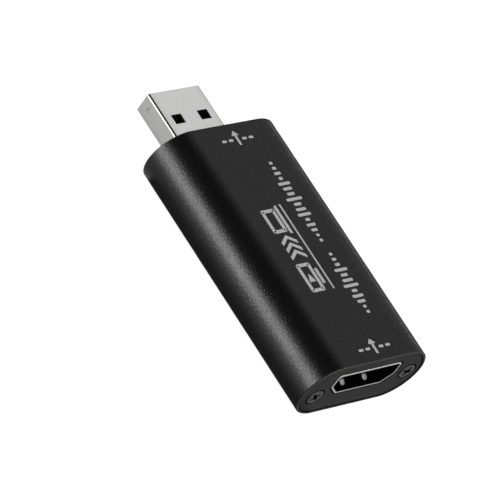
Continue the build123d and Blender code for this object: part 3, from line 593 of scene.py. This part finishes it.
def spring_leaf(name, side, x):
    """A leaf: a flat section carried along a side view that rises from its root to a crest and falls
    to its tip. It narrows to the tip as the chord of a circle, sqrt(2t - t^2) with t the distance
    from the tip over the half width. The middle of the section is pressed out as
    1 - (place across / half width)^2, which fades from the crest as a bell curve."""
    wall = SOCKET_HEIGHT / 2
    rises = (-SOCKET_SHEET / 2, LEAF_CREST - LEAF_SHEET / 2, LEAF_TIP_RISE - LEAF_SHEET / 2)
    depths = (LEAF_ROOT_DEPTH, LEAF_CREST_DEPTH, LEAF_TIP_DEPTH)
    corners = [(Y_MOUTH + d, Z_SOCKET + side * (wall - r)) for d, r in zip(depths, rises)]
    bend = bent(corners, LEAF_BEND_R, steps=16)
    share = np.linspace(0, 1, LEAF_STEPS)[:-1, None]
    rise = bend[0] + share * (bend[1] - bend[0])
    fall = bend[-1] + share[::-1] ** 2 * (bend[-2] - bend[-1])
    path = np.concatenate([rise, bend[1:-2], fall])
    gone = np.concatenate([[0], np.cumsum(np.linalg.norm(np.diff(path, axis=0), axis=1))])
    crest = gone[np.argmin(side * path[:, 1])]
    step = np.gradient(path, axis=0)
    step /= np.linalg.norm(step, axis=1)[:, None]
    normal = np.stack([-step[:, 1], step[:, 0]], -1)
    half, thick = LEAF_WIDTH / 2, LEAF_SHEET / 2
    t = np.clip((gone[-1] - gone) / half, LEAF_TIP_SHARE, 1)
    width = np.sqrt(2 * t - t**2)
    section = rectangle((-half, half), (-thick, thick), LEAF_EDGE_R)
    section, _ = refined(section, 0, np.linspace(-half, half, LEAF_STEPS)[1:-1])
    cup = LEAF_CUP * np.exp(-((gone - crest) / half) ** 2)[:, None] * (1 - (section[:, 0] / half) ** 2)
    rings = np.empty((len(path), len(section), 3))
    rings[..., 0] = x + width[:, None] * section[:, 0]
    rings[..., 1:] = path[:, None] + (section[:, 1] + side * cup)[..., None] * normal[:, None]
    shell = Shell()
    numbers = shell.add(rings)
    shell.quads(numbers)
    shell.faces += [numbers[0].tolist(), numbers[-1].tolist()]
    return shell.piece(f"socket_spring_{name}_leaf", body=f"spring_{name}", sharp=50)


def plug_outline(growth=0.0):
    """The outside of the plug: a rectangle with round corners, grown by an even amount."""
    half, high = PLUG_WIDTH / 2, PLUG_HEIGHT / 2
    z = (Z_PLUG - high, Z_PLUG + high)
    points, normals = rectangle((-half, half), z, PLUG_CORNER_R, steps=12)
    return points + growth * normals, normals


def side_dimples(grid):
    """How far the side walls are pressed in: a round dish on each side near the tip, with a flat
    bottom and a wall that follows half a wave of a cosine over the outer half of its radius."""
    away = np.hypot(grid[..., 1] - (Y_TIP - DIMPLE_SETBACK), grid[..., 2] - Z_PLUG) / DIMPLE_R
    dish = DIMPLE_DEPTH * (1 - np.cos(np.pi * np.clip(2 * (1 - away), 0, 1))) / 2
    return np.where(np.abs(grid[..., 0]) > PLUG_WIDTH / 2 - 2 * PLUG_SHEET, dish, 0)


def plug_shell():
    """The plug's sheet, with its windows and seam, and a tab and a leg on each side."""
    shell = Shell()
    middle, half = WINDOW_SPACING / 2, WINDOW_WIDTH / 2
    window_x = [c + s * half for c in (-middle, middle) for s in (-1, 1)]
    window_y = (Y_TIP - WINDOW_DEPTH - WINDOW_LENGTH, Y_TIP - WINDOW_DEPTH)
    seam = SEAM_WIDTH / 2
    openings = [(x, window_y, EVERYWHERE) for x in (window_x[:2], window_x[2:])]
    openings.append(((-seam, seam), EVERYWHERE, (-OUTSIDE, Z_PLUG)))
    fine = np.linspace(-DIMPLE_R, DIMPLE_R, DIMPLE_STEPS)
    outline = refined(plug_outline(-PLUG_SHEET), 0, window_x + [-seam, seam])
    outline = refined(outline, 1, Z_PLUG + fine)
    tip = round_end(Y_TIP, -1, PLUG_SHEET, PLUG_TIP_R)[::-1]
    along = stations([*window_y, *(Y_TIP - DIMPLE_SETBACK + fine)], plug_low[1], tip[0, 1])
    path = [*((0, y, PLUG_SHEET) for y in along[:-1]), *tip]
    sheet_metal(shell, outline, path, openings, side_dimples)
    leg_x = plug_high[0] - PLUG_SHEET / 2
    y_leg = plug_low[1] + PLUG_LEG_SETBACK
    y = (y_leg - LEG_WIDTH / 2, y_leg + LEG_WIDTH / 2)
    z_tab = board_high[2]
    for side in (-1, 1):
        x = sorted((side * (PLUG_WIDTH / 2 - BURIED), side * plug_high[0]))
        path = [(0, z_tab), (0, z_tab + PLUG_SHEET)]
        shell.solid(rectangle(x, y, TAB_CORNER_R, steps=3), path, Z_AXIS)
        x = sorted((side * (leg_x - PLUG_SHEET / 2), side * (leg_x + PLUG_SHEET / 2)))
        leg(shell, x, y, z_tab + PLUG_SHEET / 2)
    return shell.piece("plug_shell_sheet", sharp=40, bevel=0.03)


# Printed marks on the upper face: plain signs, each a thin film of ink. They are drawn in X and Y with
# their tops towards -X, and read from the socket's end to the plug's end.
INK = 0.015
INK_START = TUBE_THICKNESS - 0.004
INK_CORNER_R = 0.12
THIN_CORNER_R = 0.1
POINT_CORNER_R = 0.08
BOLD_LINE = (-4.6, -0.6)
BOLD_START = -16.6
BOLD_END = 1.7
BOLD_STROKE = 0.78
FRAME_STROKE = 0.85 * BOLD_STROKE
FOOT_HEIGHT = 0.62
FOOT_GAP = 0.28
FOOT_INSET = 1.4
SCREEN_LENGTH = 6.0
SCREEN_CORNER_R = 0.4
PLAY_START = 2.1
PLAY_LENGTH = 1.8
PLAY_HALF = 0.72
CHEVRON_START = 0.9
CHEVRON_PITCH = 1.55
CHEVRON_DEPTH = 1.3
CHEVRON_INSET = 0.25
TRAY_LENGTH = 6.2
TRAY_SLOPE = 0.3
TRAY_CORNER_R = 0.14
LID_INSET = 0.6
LID_CORNER_R = 0.35
RULE = (0.15, 0.5)
FINE_LINE = (2.4, 6.0)
FINE_STROKE = 0.6
FINE_PITCH = 1.13
FINE_CORNER_R = 0.24
BURSTS = ((-22.7, 12), (-7.2, 16))  # where each starts, and how many bars it has
SWELL_START = 0.7  # in bars, and how much longer than a burst its swell is
SWELL_EXTRA = 0.4
BEAT_MEAN = 0.68
BEAT_SWING = 0.32
BEAT_TURN = 2.3  # radians per bar, and at the first bar
BEAT_START = 0.4
LEAST_BAR = 0.2  # as a share of the row's half height
ARROW_X = 0.6
ARROW_STARTS = (-30.6, 14.8)
ARROW_LENGTH = 3.1
ARROW_HALF = 0.85
ARROW_HEAD = 1.25 * ARROW_HALF
ARROW_GAP = 0.02  # between the shaft and the head, so that they don't overlap
ARROW_CORNER_R = 0.06
ARROW_STROKE = 0.5
DASH_START = 0.95
DASH_PITCH = 1.55
DASH_HALF = 0.5


def film(shell, outline):
    """A patch of ink inside an outline."""
    shell.solid(outline, [(0, INK_START), (0, INK_START + INK)], Z_AXIS)


def ring_film(shell, outline, stroke):
    """A line of ink that follows an outline on its inner side."""
    top = INK_START + INK
    path = [(0, INK_START), (0, top), (-stroke, top), (-stroke, INK_START)]
    shell.sweep(outline, path, Z_AXIS, loop=True)


def polygon(corners, radius=POINT_CORNER_R):
    """A patch outline through corners given in either order."""
    corners = np.array(corners, float)
    ahead = np.roll(corners, -1, axis=0)
    if (corners[:, 0] * ahead[:, 1] - corners[:, 1] * ahead[:, 0]).sum() < 0:
        corners = corners[::-1]
    return rounded(corners, radius, steps=3)


def chevron(x, y, stroke, depth):
    """An arrow head open to the back, pointing along +Y."""
    low, high = x
    middle = (low + high) / 2
    back = [(low, y), (middle, y + depth), (high, y)]
    return polygon(back + [(x, y + stroke) for x, y in back[::-1]])


def printed_signs():
    """The bold row: a screen with a play sign, three chevrons and an open computer, above a rule."""
    shell = Shell()
    top, base = BOLD_LINE
    foot = base - FOOT_HEIGHT
    glass = (top, foot - FOOT_GAP)
    start, end = BOLD_START, BOLD_START + SCREEN_LENGTH
    ring_film(shell, rectangle(glass, (start, end), SCREEN_CORNER_R, steps=5), FRAME_STROKE)
    film(shell, rectangle((foot, base), (start + FOOT_INSET, end - FOOT_INSET), INK_CORNER_R))
    middle, y = sum(glass) / 2, start + PLAY_START
    corners = [(middle - PLAY_HALF, y), (middle + PLAY_HALF, y), (middle, y + PLAY_LENGTH)]
    film(shell, polygon(corners, THIN_CORNER_R))
    for i in range(3):
        y = end + CHEVRON_START + i * CHEVRON_PITCH
        film(shell, chevron((top + CHEVRON_INSET, base - CHEVRON_INSET), y, BOLD_STROKE, CHEVRON_DEPTH))
    start, end = BOLD_END - TRAY_LENGTH, BOLD_END
    lid = rectangle(glass, (start + LID_INSET, end - LID_INSET), LID_CORNER_R, steps=5)
    ring_film(shell, lid, FRAME_STROKE)
    corners = [(foot, start + TRAY_SLOPE), (foot, end - TRAY_SLOPE), (base, end), (base, start)]
    film(shell, polygon(corners, TRAY_CORNER_R))
    film(shell, rectangle(RULE, (BOLD_START, BOLD_END), THIN_CORNER_R))
    return shell.piece("printed_signs", sharp=40)


def signal_bars():
    """The fine row: two bursts of a signal. A bar's half length follows half a sine wave along its
    burst, times a faster beat."""
    shell = Shell()
    low, high = FINE_LINE
    middle, half = (low + high) / 2, (high - low) / 2
    for start, count in BURSTS:
        place = np.arange(count)
        swell = np.sin(np.pi * (place + SWELL_START) / (count + SWELL_EXTRA))
        beat = BEAT_MEAN + BEAT_SWING * np.cos(place * BEAT_TURN + BEAT_START)
        for i, size in enumerate(half * np.clip(swell * beat, LEAST_BAR, 1)):
            y = start + i * FINE_PITCH
            film(shell, rectangle((middle - size, middle + size), (y, y + FINE_STROKE), FINE_CORNER_R))
    return shell.piece("printed_signal", sharp=40)


def printed_arrows():
    """An arrow through a line of dashes at each end: the picture goes in at one, out at the other."""
    shell = Shell()
    x, half = ARROW_X, ARROW_STROKE / 2
    for y in ARROW_STARTS:
        neck = y + ARROW_LENGTH - ARROW_HEAD
        film(shell, rectangle((x - half, x + half), (y, neck - ARROW_GAP), ARROW_CORNER_R))
        film(shell, polygon([(x - ARROW_HALF, neck), (x + ARROW_HALF, neck), (x, y + ARROW_LENGTH)]))
        low = y + DASH_START
        for dash in (-2, -1, 1, 2):
            middle = x + dash * DASH_PITCH
            across = (middle - DASH_HALF, middle + DASH_HALF)
            film(shell, rectangle(across, (low, low + ARROW_STROKE), INK_CORNER_R))
    return shell.piece("printed_arrows", sharp=40)


# Materials

def linear(hex_colour):
    """A colour written as sRGB hex, as the linear values that a shader takes."""
    srgb = np.array([int(hex_colour[i:i + 2], 16) for i in (1, 3, 5)]) / 255
    value = np.where(srgb <= 0.04045, srgb / 12.92, ((srgb + 0.055) / 1.055) ** 2.4)
    return (*value.tolist(), 1.0)


def add(tree, kind, inputs=None, **settings):
    """Adds a shader node, sets its properties, and sets or links its inputs, given as {socket: value}.
    A value is a number, a vector, a hex colour, a socket, or a node for its first output in use."""
    node = tree.nodes.new("ShaderNode" + kind)
    for name, value in settings.items():
        setattr(node, name, value)
    for name, value in (inputs or {}).items():
        if isinstance(value, bpy.types.Node):
            value = next(output for output in value.outputs if output.enabled)
        if isinstance(value, bpy.types.NodeSocket):
            tree.links.new(value, node.inputs[name])
        else:
            node.inputs[name].default_value = linear(value) if isinstance(value, str) else value
    return node


def per_mm(size):
    """The scale of a pattern on Object coordinates whose features measure so many millimetres."""
    return 1 / (size * MM)


def bare(kind, name):
    """A new material or world, whose nodes are still to be added, and its tree."""
    made = kind.new(name)
    made.use_nodes = True
    made.node_tree.nodes.clear()
    return made, made.node_tree


def material(name):
    """A new material, its tree and the piece's own coordinates."""
    made, tree = bare(bpy.data.materials, name)
    return made, tree, add(tree, "TexCoord").outputs


def surface(made, colour, layers, rough, relief, more):
    """A material with its principled shader: a colour with others laid over it by patterns, a
    roughness that a pattern spreads over a range, a pattern's relief in millimetres, and more."""
    tree = made.node_tree
    for pattern, over in layers:
        colour = add(tree, "Mix", {"Factor": pattern, "A": colour, "B": over}, data_type="RGBA")
    (pattern, low, high), (height, depth) = rough, relief
    spread = add(tree, "MapRange", {"Value": pattern, "To Min": low, "To Max": high})
    bump = add(tree, "Bump", {"Height": height, "Distance": depth * MM, "Strength": 1.0})
    inputs = {"Base Color": colour, "Roughness": spread, "Normal": bump, **more}
    add(tree, "OutputMaterial", {"Surface": add(tree, "BsdfPrincipled", inputs)})
    return made


def anodised(name, dark, light, rough, dull, bright):
    """Black anodised aluminium, bead blasted: a clear oxide over black dye, so it shines like glass
    and not like metal, in a soft band with a fine grain that goes from dull to bright. The real grain
    is about 0.1 mm, and is drawn at 0.3 mm so that it shows."""
    made, tree, own = material(name)
    grain = add(tree, "TexNoise", {"Vector": own["Object"], "Scale": per_mm(0.3), "Roughness": 0.7})
    cloud = add(tree, "TexNoise", {"Vector": own["Object"], "Scale": per_mm(5.0)})
    both = add(tree, "Math", {0: grain, 1: cloud}, operation="ADD")
    shine = add(tree, "MapRange", {"Value": grain, "To Min": dull, "To Max": bright})
    return surface(made, dark, [(grain, light)], (both, rough - 0.08, rough + 0.04), (grain, 0.05),
                   {"Specular IOR Level": shine})


def facing_in(tree, own, axis_z):
    """1 where a tube's surface faces its axis, which runs along Y at a height in millimetres, and 0 on
    its outer side: the distance from the axis, taken along the normal, is below zero there, and half
    a millimetre of it gives 1."""
    apart = add(tree, "VectorMath", {0: own["Object"], 1: (0, 0, axis_z * MM)}, operation="SUBTRACT")
    across = add(tree, "VectorMath", {0: apart, 1: (1, 0, 1)}, operation="MULTIPLY")
    along = add(tree, "VectorMath", {0: across, 1: own["Normal"]}, operation="DOT_PRODUCT")
    inputs = {0: along.outputs["Value"], 1: -per_mm(0.5)}
    return add(tree, "Math", inputs, operation="MULTIPLY", use_clamp=True)


def bend_along_y(tree, own):
    """1 in the middle of a square bend about a line along Y, and 0 on its flats: twice the product of
    the normal's X and Z, whatever their signs."""
    parts = add(tree, "SeparateXYZ", {"Vector": own["Normal"]}).outputs
    both = add(tree, "Math", {0: parts["X"], 1: parts["Z"]}, operation="MULTIPLY")
    size = add(tree, "Math", {0: both}, operation="ABSOLUTE")
    return add(tree, "Math", {0: size, 1: 2.0}, operation="MULTIPLY", use_clamp=True)


# inside and bend are colours of painted shade: one for a tube's inner side, one for its rounded bends
# along Y.
def plated(name, dark, light, rough, brushed=(1, 1, 1), axis_z=None, inside="#1c1c1c", bend=None):
    """Nickel plated steel sheet: a bright mirror with fine rolling lines and faint stains. The inside of
    a tube of it can be painted a darker colour, as painted shade, and so can its rounded bends along Y,
    as painted shade that dims their highlight."""
    made, tree, own = material(name)
    lines = add(tree, "Mapping", {"Vector": own["Object"], "Scale": brushed})
    inputs = {"Vector": lines, "Scale": per_mm(0.12), "Detail": 3.0, "Roughness": 0.6}
    streaks = add(tree, "TexNoise", inputs)
    stain = add(tree, "TexNoise", {"Vector": own["Object"], "Scale": per_mm(2.5), "Detail": 3.0})
    layers = [(stain, light)]
    # Painted shade: the inner side of the tube takes the darker inside colour.
    if axis_z is not None:
        layers.append((facing_in(tree, own, axis_z), inside))
    # Painted shade: the rounded bends along Y take the darker bend colour, which dims the highlight on
    # them.
    if bend is not None:
        layers.append((bend_along_y(tree, own), bend))
    return surface(made, dark, layers, (streaks, rough - 0.06, rough + 0.08), (streaks, 0.002),
                   {"Metallic": 1.0})


def moulded(name, dark, light, rough, grit=0.15, depth=0.004, specular=0.4):
    """A moulded surface: even colour with a fine spark-eroded grain that dulls its shine."""
    made, tree, own = material(name)
    inputs = {"Vector": own["Object"], "Scale": per_mm(grit), "Detail": 3.0, "Roughness": 0.6}
    grain = add(tree, "TexNoise", inputs)
    cloud = add(tree, "TexNoise", {"Vector": own["Object"], "Scale": per_mm(2.0)})
    return surface(made, dark, [(cloud, light)], (grain, rough - 0.08, rough + 0.08), (grain, depth),
                   {"Specular IOR Level": specular})


def screw_steel():
    """Black nickel plated steel: a dark grey mirror, a little lighter where the driver has rubbed. The
    head is what lies near the tube's ends and faces along it. The rest, the cross recess, the side of the
    head's rim and the shank, is painted near black, as painted shade in the recess and round the rim."""
    made, tree, own = material("black_nickel_steel_painted_recess_shade")
    grain = add(tree, "TexNoise", {"Vector": own["Object"], "Scale": per_mm(0.12), "Detail": 3.0})
    rubbed = add(tree, "TexNoise", {"Vector": own["Object"], "Scale": per_mm(0.5), "Detail": 4.0})
    worn = add(tree, "MapRange", {"Value": rubbed, "To Min": -0.6, "To Max": 1.0})
    along = add(tree, "SeparateXYZ", {"Vector": own["Object"]}).outputs["Y"]
    middle, half = (Y_INPUT + Y_OUTPUT) / 2, (Y_OUTPUT - Y_INPUT) / 2
    shifted = add(tree, "Math", {0: along, 1: middle * MM}, operation="SUBTRACT")
    away = add(tree, "Math", {0: shifted}, operation="ABSOLUTE")
    deep, head = half - RECESS_DEPTH / 2, half - SCREW_CROWN
    high = add(tree, "MapRange", {"Value": away, "From Min": deep * MM, "From Max": head * MM})
    facing = add(tree, "SeparateXYZ", {"Vector": own["Normal"]}).outputs["Y"]
    flat = add(tree, "Math", {0: facing}, operation="ABSOLUTE")
    flat = add(tree, "MapRange", {"Value": flat, "From Min": 0.5, "From Max": 0.75})
    head_face_unshaded = add(tree, "Math", {0: high, 1: flat}, operation="MULTIPLY")
    steel = add(tree, "Mix", {"Factor": worn, "A": "#3c3c3e", "B": "#666668"}, data_type="RGBA")
    # Off the head's face the colour is #020202: painted shade in the cross recess and round the head's
    # rim, and the shank drawn near black too.
    return surface(made, "#020202", [(head_face_unshaded, steel)], (grain, 0.28, 0.42), (grain, 0.004),
                   {"Metallic": 0.85})


def solder_mask():
    """Green solder mask over woven glass: the weave, 0.5 mm apart, shows as a faint relief, and copper
    lines under the mask show as a lighter green."""
    made, tree, own = material("solder_mask_green")
    inputs = {0: own["Object"], "Scale": per_mm(0.5) * 2 * math.pi}
    turns = add(tree, "VectorMath", inputs, operation="SCALE")
    waves = add(tree, "VectorMath", {0: turns}, operation="SINE")
    parts = add(tree, "SeparateXYZ", {"Vector": waves}).outputs
    weave = add(tree, "Math", {0: parts["X"], 1: parts["Y"]}, operation="MULTIPLY")
    inputs = {"Vector": own["Object"], "Scale": per_mm(1.0), "Mortar Size": 0.12}
    lines = add(tree, "TexBrick", inputs, offset=0.5).outputs["Fac"]
    return surface(made, "#030d07", [(lines, "#071f10")], (lines, 0.3, 0.3), (weave, 0.01),
                   {"Specular IOR Level": 0.5})


def print_ink():
    """Pad-printed grey ink: matt, and thin enough for the blasted grain below to break its edge."""
    made, tree, own = material("pad_print_grey")
    inputs = {"Vector": own["Object"], "Scale": per_mm(0.14), "Detail": 3.0, "Roughness": 0.7}
    speck = add(tree, "TexNoise", inputs)
    return surface(made, "#8f8f8f", [(speck, "#acacac")], (speck, 0.55, 0.75), (speck, 0.006),
                   {"Specular IOR Level": 0.2})


ALONG = (1, 0.06, 1)  # draws a pattern out along Y
FINISHES = {
    "anodised_black": anodised("anodised_aluminium_blasted", "#050505", "#0a0a0a", 0.27, 0.1, 0.46),
    "plate_black": anodised("anodised_aluminium_plate", "#060606", "#0c0c0c", 0.42, 0.05, 0.25),
    "screw_black": screw_steel(),
    "board_green": solder_mask(),
    # The socket's inner side is painted #1c1c1c, as painted shade in its mouth.
    "socket_steel": plated("nickel_plated_socket_painted_inner_shade", "#dcdcda", "#e8e8e6", 0.3, ALONG, Z_SOCKET),
    # The leaves' plating is drawn much darker than the same plating on the shell, as painted shade inside
    # the mouth.
    "spring_steel": plated("nickel_plated_spring_painted_shade", "#7d7c7a", "#8c8b89", 0.52, ALONG),
    "connector_plastic": moulded("glass_filled_nylon_black", "#121212", "#1a1a1a", 0.5),
    "contact_gold": plated("gold_flash_contact", "#c99a3e", "#e0b454", 0.25, ALONG),
    # The plug's inner side (#4a4a4a) and its rounded corners (#585858) are painted darker, as painted
    # shade; on the corners it dims the reflected stripe.
    "plug_steel": plated("nickel_plated_plug_painted_shade", "#e0e0df", "#ebebea", 0.28, ALONG, Z_PLUG,
                         inside="#4a4a4a", bend="#585858"),
    "solder": plated("tin_solder", "#9fa1a3", "#b9bbbd", 0.3),
    "chip_epoxy": moulded("epoxy_moulding_compound", "#121214", "#1a1a1c", 0.6, 0.1, 0.006),
    "tinned_leads": plated("tin_plated_lead", "#b0b1b2", "#c6c7c8", 0.32),
    "crystal_steel": plated("drawn_steel_can", "#b8b8b6", "#cfcfcd", 0.2, ALONG),
    "capacitor_ceramic": moulded("fired_ceramic_tan", "#8a6a48", "#a37f58", 0.5),
    "resistor_glaze": moulded("glass_glaze_black", "#0e0e10", "#17171a", 0.25, 0.3, 0.002, 0.5),
    "inductor_ferrite": moulded("pressed_iron_powder", "#3a3a3c", "#4a4a4c", 0.6, 0.12, 0.01),
}


def finish(piece, slot, node):
    """Gives a piece the finish of a material slot, and puts it in the place of a node."""
    piece.data.materials.append(FINISHES[slot])
    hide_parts(node)


for node in frame["nodes"].values():
    slot = node.data.materials[0].name
    for holder in node.material_slots:
        holder.material = FINISHES[slot]

ENDS = (
    ("input_end", Y_INPUT_FACE, 1, socket_outline(SOCKET_APERTURE), INPUT_SCREW_TURNS),
    ("output_end", Y_OUTPUT_FACE, -1, plug_outline(PLUG_APERTURE), OUTPUT_SCREW_TURNS),
)
finish(housing_tube(), "anodised_black", "housing_tube")
for name, y_face, inward, aperture, _ in ENDS:
    finish(end_plate(f"{name}_plate_skin", y_face, inward, aperture), "plate_black", f"{name}_plate")
for name, y_face, inward, _, turns in ENDS:
    finish(screws(f"{name}_screws_skin", y_face, inward, turns), "screw_black", f"{name}_screws")
finish(socket_shell(), "socket_steel", "socket_shell")
finish(plug_shell(), "plug_steel", "plug_shell")
for name, (side, x) in leaf_places().items():
    finish(spring_leaf(name, side, x), "spring_steel", f"socket_spring_{name}")
ink = print_ink()
for marks in (printed_signs(), signal_bars(), printed_arrows()):
    marks.data.materials.append(ink)


# Studio: a pale floor that the camera and mirrors see as white, dim cards that only the object's
# reflections see, soft lamps, and the camera

FLOOR_REACH = 3.0  # metres
FLOOR_COUNT = 7  # points along each side
FLOOR_GLOW = 0.85
CARD_HEIGHT = 0.03
CARD_RISE = 1.7  # power of the rise in brightness over a card
CARDS = (  # name, X and Y in millimetres, brightness at the edge near the object and at the far edge
    ("left_card", (-13, -7.8), (-60, 19), 0.06, 0.06),
    ("left_ramp_card", (-36, -13), (-60, 19), 0.06, 2.0),
    ("right_card", (7.8, 75), (-31, 60), 0.05, 0.05),
    ("front_card", (-75, 75), (-140, -32.2), 0.52, 0.52),
    ("plug_card", (-13, -6.2), (19.1, 75), 0.44, 0.44),
    ("plug_ramp_card", (-36, -13), (19.1, 75), 0.44, 1.3),
)
WORLD_GLOSS = 0.02  # brightness of the surround in reflections
WORLD_MATT = 0.3  # and to matt surfaces
AIM = Vector((-5.11, -2.21, 6.4)) * MM
AZIMUTH, ELEVATION, ROLL = -60.5, 40.08, 36.93  # degrees
CAMERA_DISTANCE = 0.8515
LENS = 361.3  # millimetres
CLIP = (0.01, 20)  # metres
LAMP_DISTANCE = 0.9
LAMPS = (  # name, direction from the object, width and height in metres, watts
    ("back_softbox", (0.7, 0.4, 0.59), (0.8, 0.68), 1.27),
    ("side_softbox", (-0.9, 0.38, 0.17), (0.4, 0.6), 11.5),
    ("edge_softbox", (0.67, -0.64, 0.38), (0.4, 0.4), 1.3),
    ("key_softbox", (-0.05, -0.80, 0.60), (1.2, 1.2), 10.0),
)


def stage_mesh(name, paper_name, points, faces):
    """An object of the stage, and the node tree of its paper."""
    mesh = bpy.data.meshes.new(name)
    mesh.from_pydata(points.tolist(), [], faces)
    paper, tree = bare(bpy.data.materials, paper_name)
    mesh.materials.append(paper)
    made = placed(name, mesh)
    return made, tree


def camera_like(tree):
    """1 for rays from the camera, and for those that metal and glass send on."""
    path = add(tree, "LightPath").outputs
    inputs = {0: path["Is Camera Ray"], 1: path["Is Glossy Ray"]}
    seen = add(tree, "Math", inputs, operation="MAXIMUM")
    return add(tree, "Math", {0: seen, 1: path["Is Transmission Ray"]}, operation="MAXIMUM")


def floor():
    """A wide flat floor, as a grid of points that all lie at height zero."""
    count = FLOOR_COUNT
    line = np.linspace(-FLOOR_REACH, FLOOR_REACH, count)
    x, y = np.meshgrid(line, line)
    points = np.stack([x, y, np.zeros_like(x)], -1).reshape(-1, 3)
    first = np.arange(count * count).reshape(count, count)[:-1, :-1].reshape(-1, 1)
    quads = (first + [0, 1, count + 1, count]).tolist()
    _, tree = stage_mesh("floor", "white_paper_floor", points, quads)
    matt = add(tree, "BsdfDiffuse", {"Color": "#a0a0a0"})
    strength = add(tree, "Math", {0: camera_like(tree), 1: FLOOR_GLOW}, operation="MULTIPLY")
    glow = add(tree, "Emission", {"Color": "#ffffff", "Strength": strength})
    add(tree, "OutputMaterial", {"Surface": add(tree, "AddShader", {0: matt, 1: glow})})


def card(name, x, y, near_level, far_level):
    """A card just above the floor, over a range of X and Y in millimetres, as a grid of four points.
    Its brightness rises from its edge near the object to its far edge, slowly at first."""
    corners = [(x[0], y[0]), (x[1], y[0]), (x[1], y[1]), (x[0], y[1])]
    points = np.array([(*corner, CARD_HEIGHT) for corner in corners]) * MM
    made, tree = stage_mesh(name, name, points, [(0, 1, 2, 3)])
    made.visible_camera = made.visible_shadow = made.visible_diffuse = False
    place = add(tree, "TexCoord").outputs["Object"]
    across = add(tree, "SeparateXYZ", {"Vector": place}).outputs["X"]
    share = add(tree, "MapRange", {"Value": across, "From Min": x[1] * MM, "From Max": x[0] * MM})
    rise = add(tree, "Math", {0: share, 1: CARD_RISE}, operation="POWER")
    level = add(tree, "MapRange", {"Value": rise, "To Min": near_level, "To Max": far_level})
    glow = add(tree, "Emission", {"Color": "#ffffff", "Strength": level})
    add(tree, "OutputMaterial", {"Surface": glow})


def world():
    """A plain white surround: full white to the camera, dim in reflections, as in a dark studio, and
    at a level of its own to matt surfaces."""
    made, tree = bare(bpy.data.worlds, "studio")
    path = add(tree, "LightPath").outputs
    inputs = {"Value": path["Is Glossy Ray"], "To Min": WORLD_MATT, "To Max": WORLD_GLOSS}
    lit = add(tree, "MapRange", inputs)
    level = add(tree, "Math", {0: lit, 1: path["Is Camera Ray"]}, operation="MAXIMUM")
    sky = add(tree, "Background", {"Color": "#ffffff", "Strength": level})
    add(tree, "OutputWorld", {"Surface": sky})
    bpy.context.scene.world = made


def face_object(made, back, distance, roll=0.0):
    """Puts a lamp or the camera at a distance from the point of aim, facing it."""
    turn = Matrix.Rotation(roll, 4, back) @ back.to_track_quat("Z", "Y").to_matrix().to_4x4()
    made.matrix_world = Matrix.Translation(AIM + back * distance) @ turn


def softbox(name, direction, size, power):
    """An area lamp in a direction from the object."""
    light = bpy.data.lights.new(name, "AREA")
    light.shape = "RECTANGLE"
    light.size, light.size_y = size
    light.energy = power
    face_object(placed(name, light), Vector(direction).normalized(), LAMP_DISTANCE)


def camera():
    """The camera, rolled about its line of sight."""
    a, e = math.radians(AZIMUTH), math.radians(ELEVATION)
    back = Vector((math.sin(a) * math.cos(e), -math.cos(a) * math.cos(e), math.sin(e)))
    data = bpy.data.cameras.new("camera")
    data.lens = LENS
    data.clip_start, data.clip_end = CLIP
    made = placed("camera", data)
    face_object(made, back, CAMERA_DISTANCE, math.radians(ROLL))
    bpy.context.scene.camera = made


floor()
for row in CARDS:
    card(*row)
world()
camera()
for row in LAMPS:
    softbox(*row)
bpy.context.scene.view_settings.view_transform = "Standard"
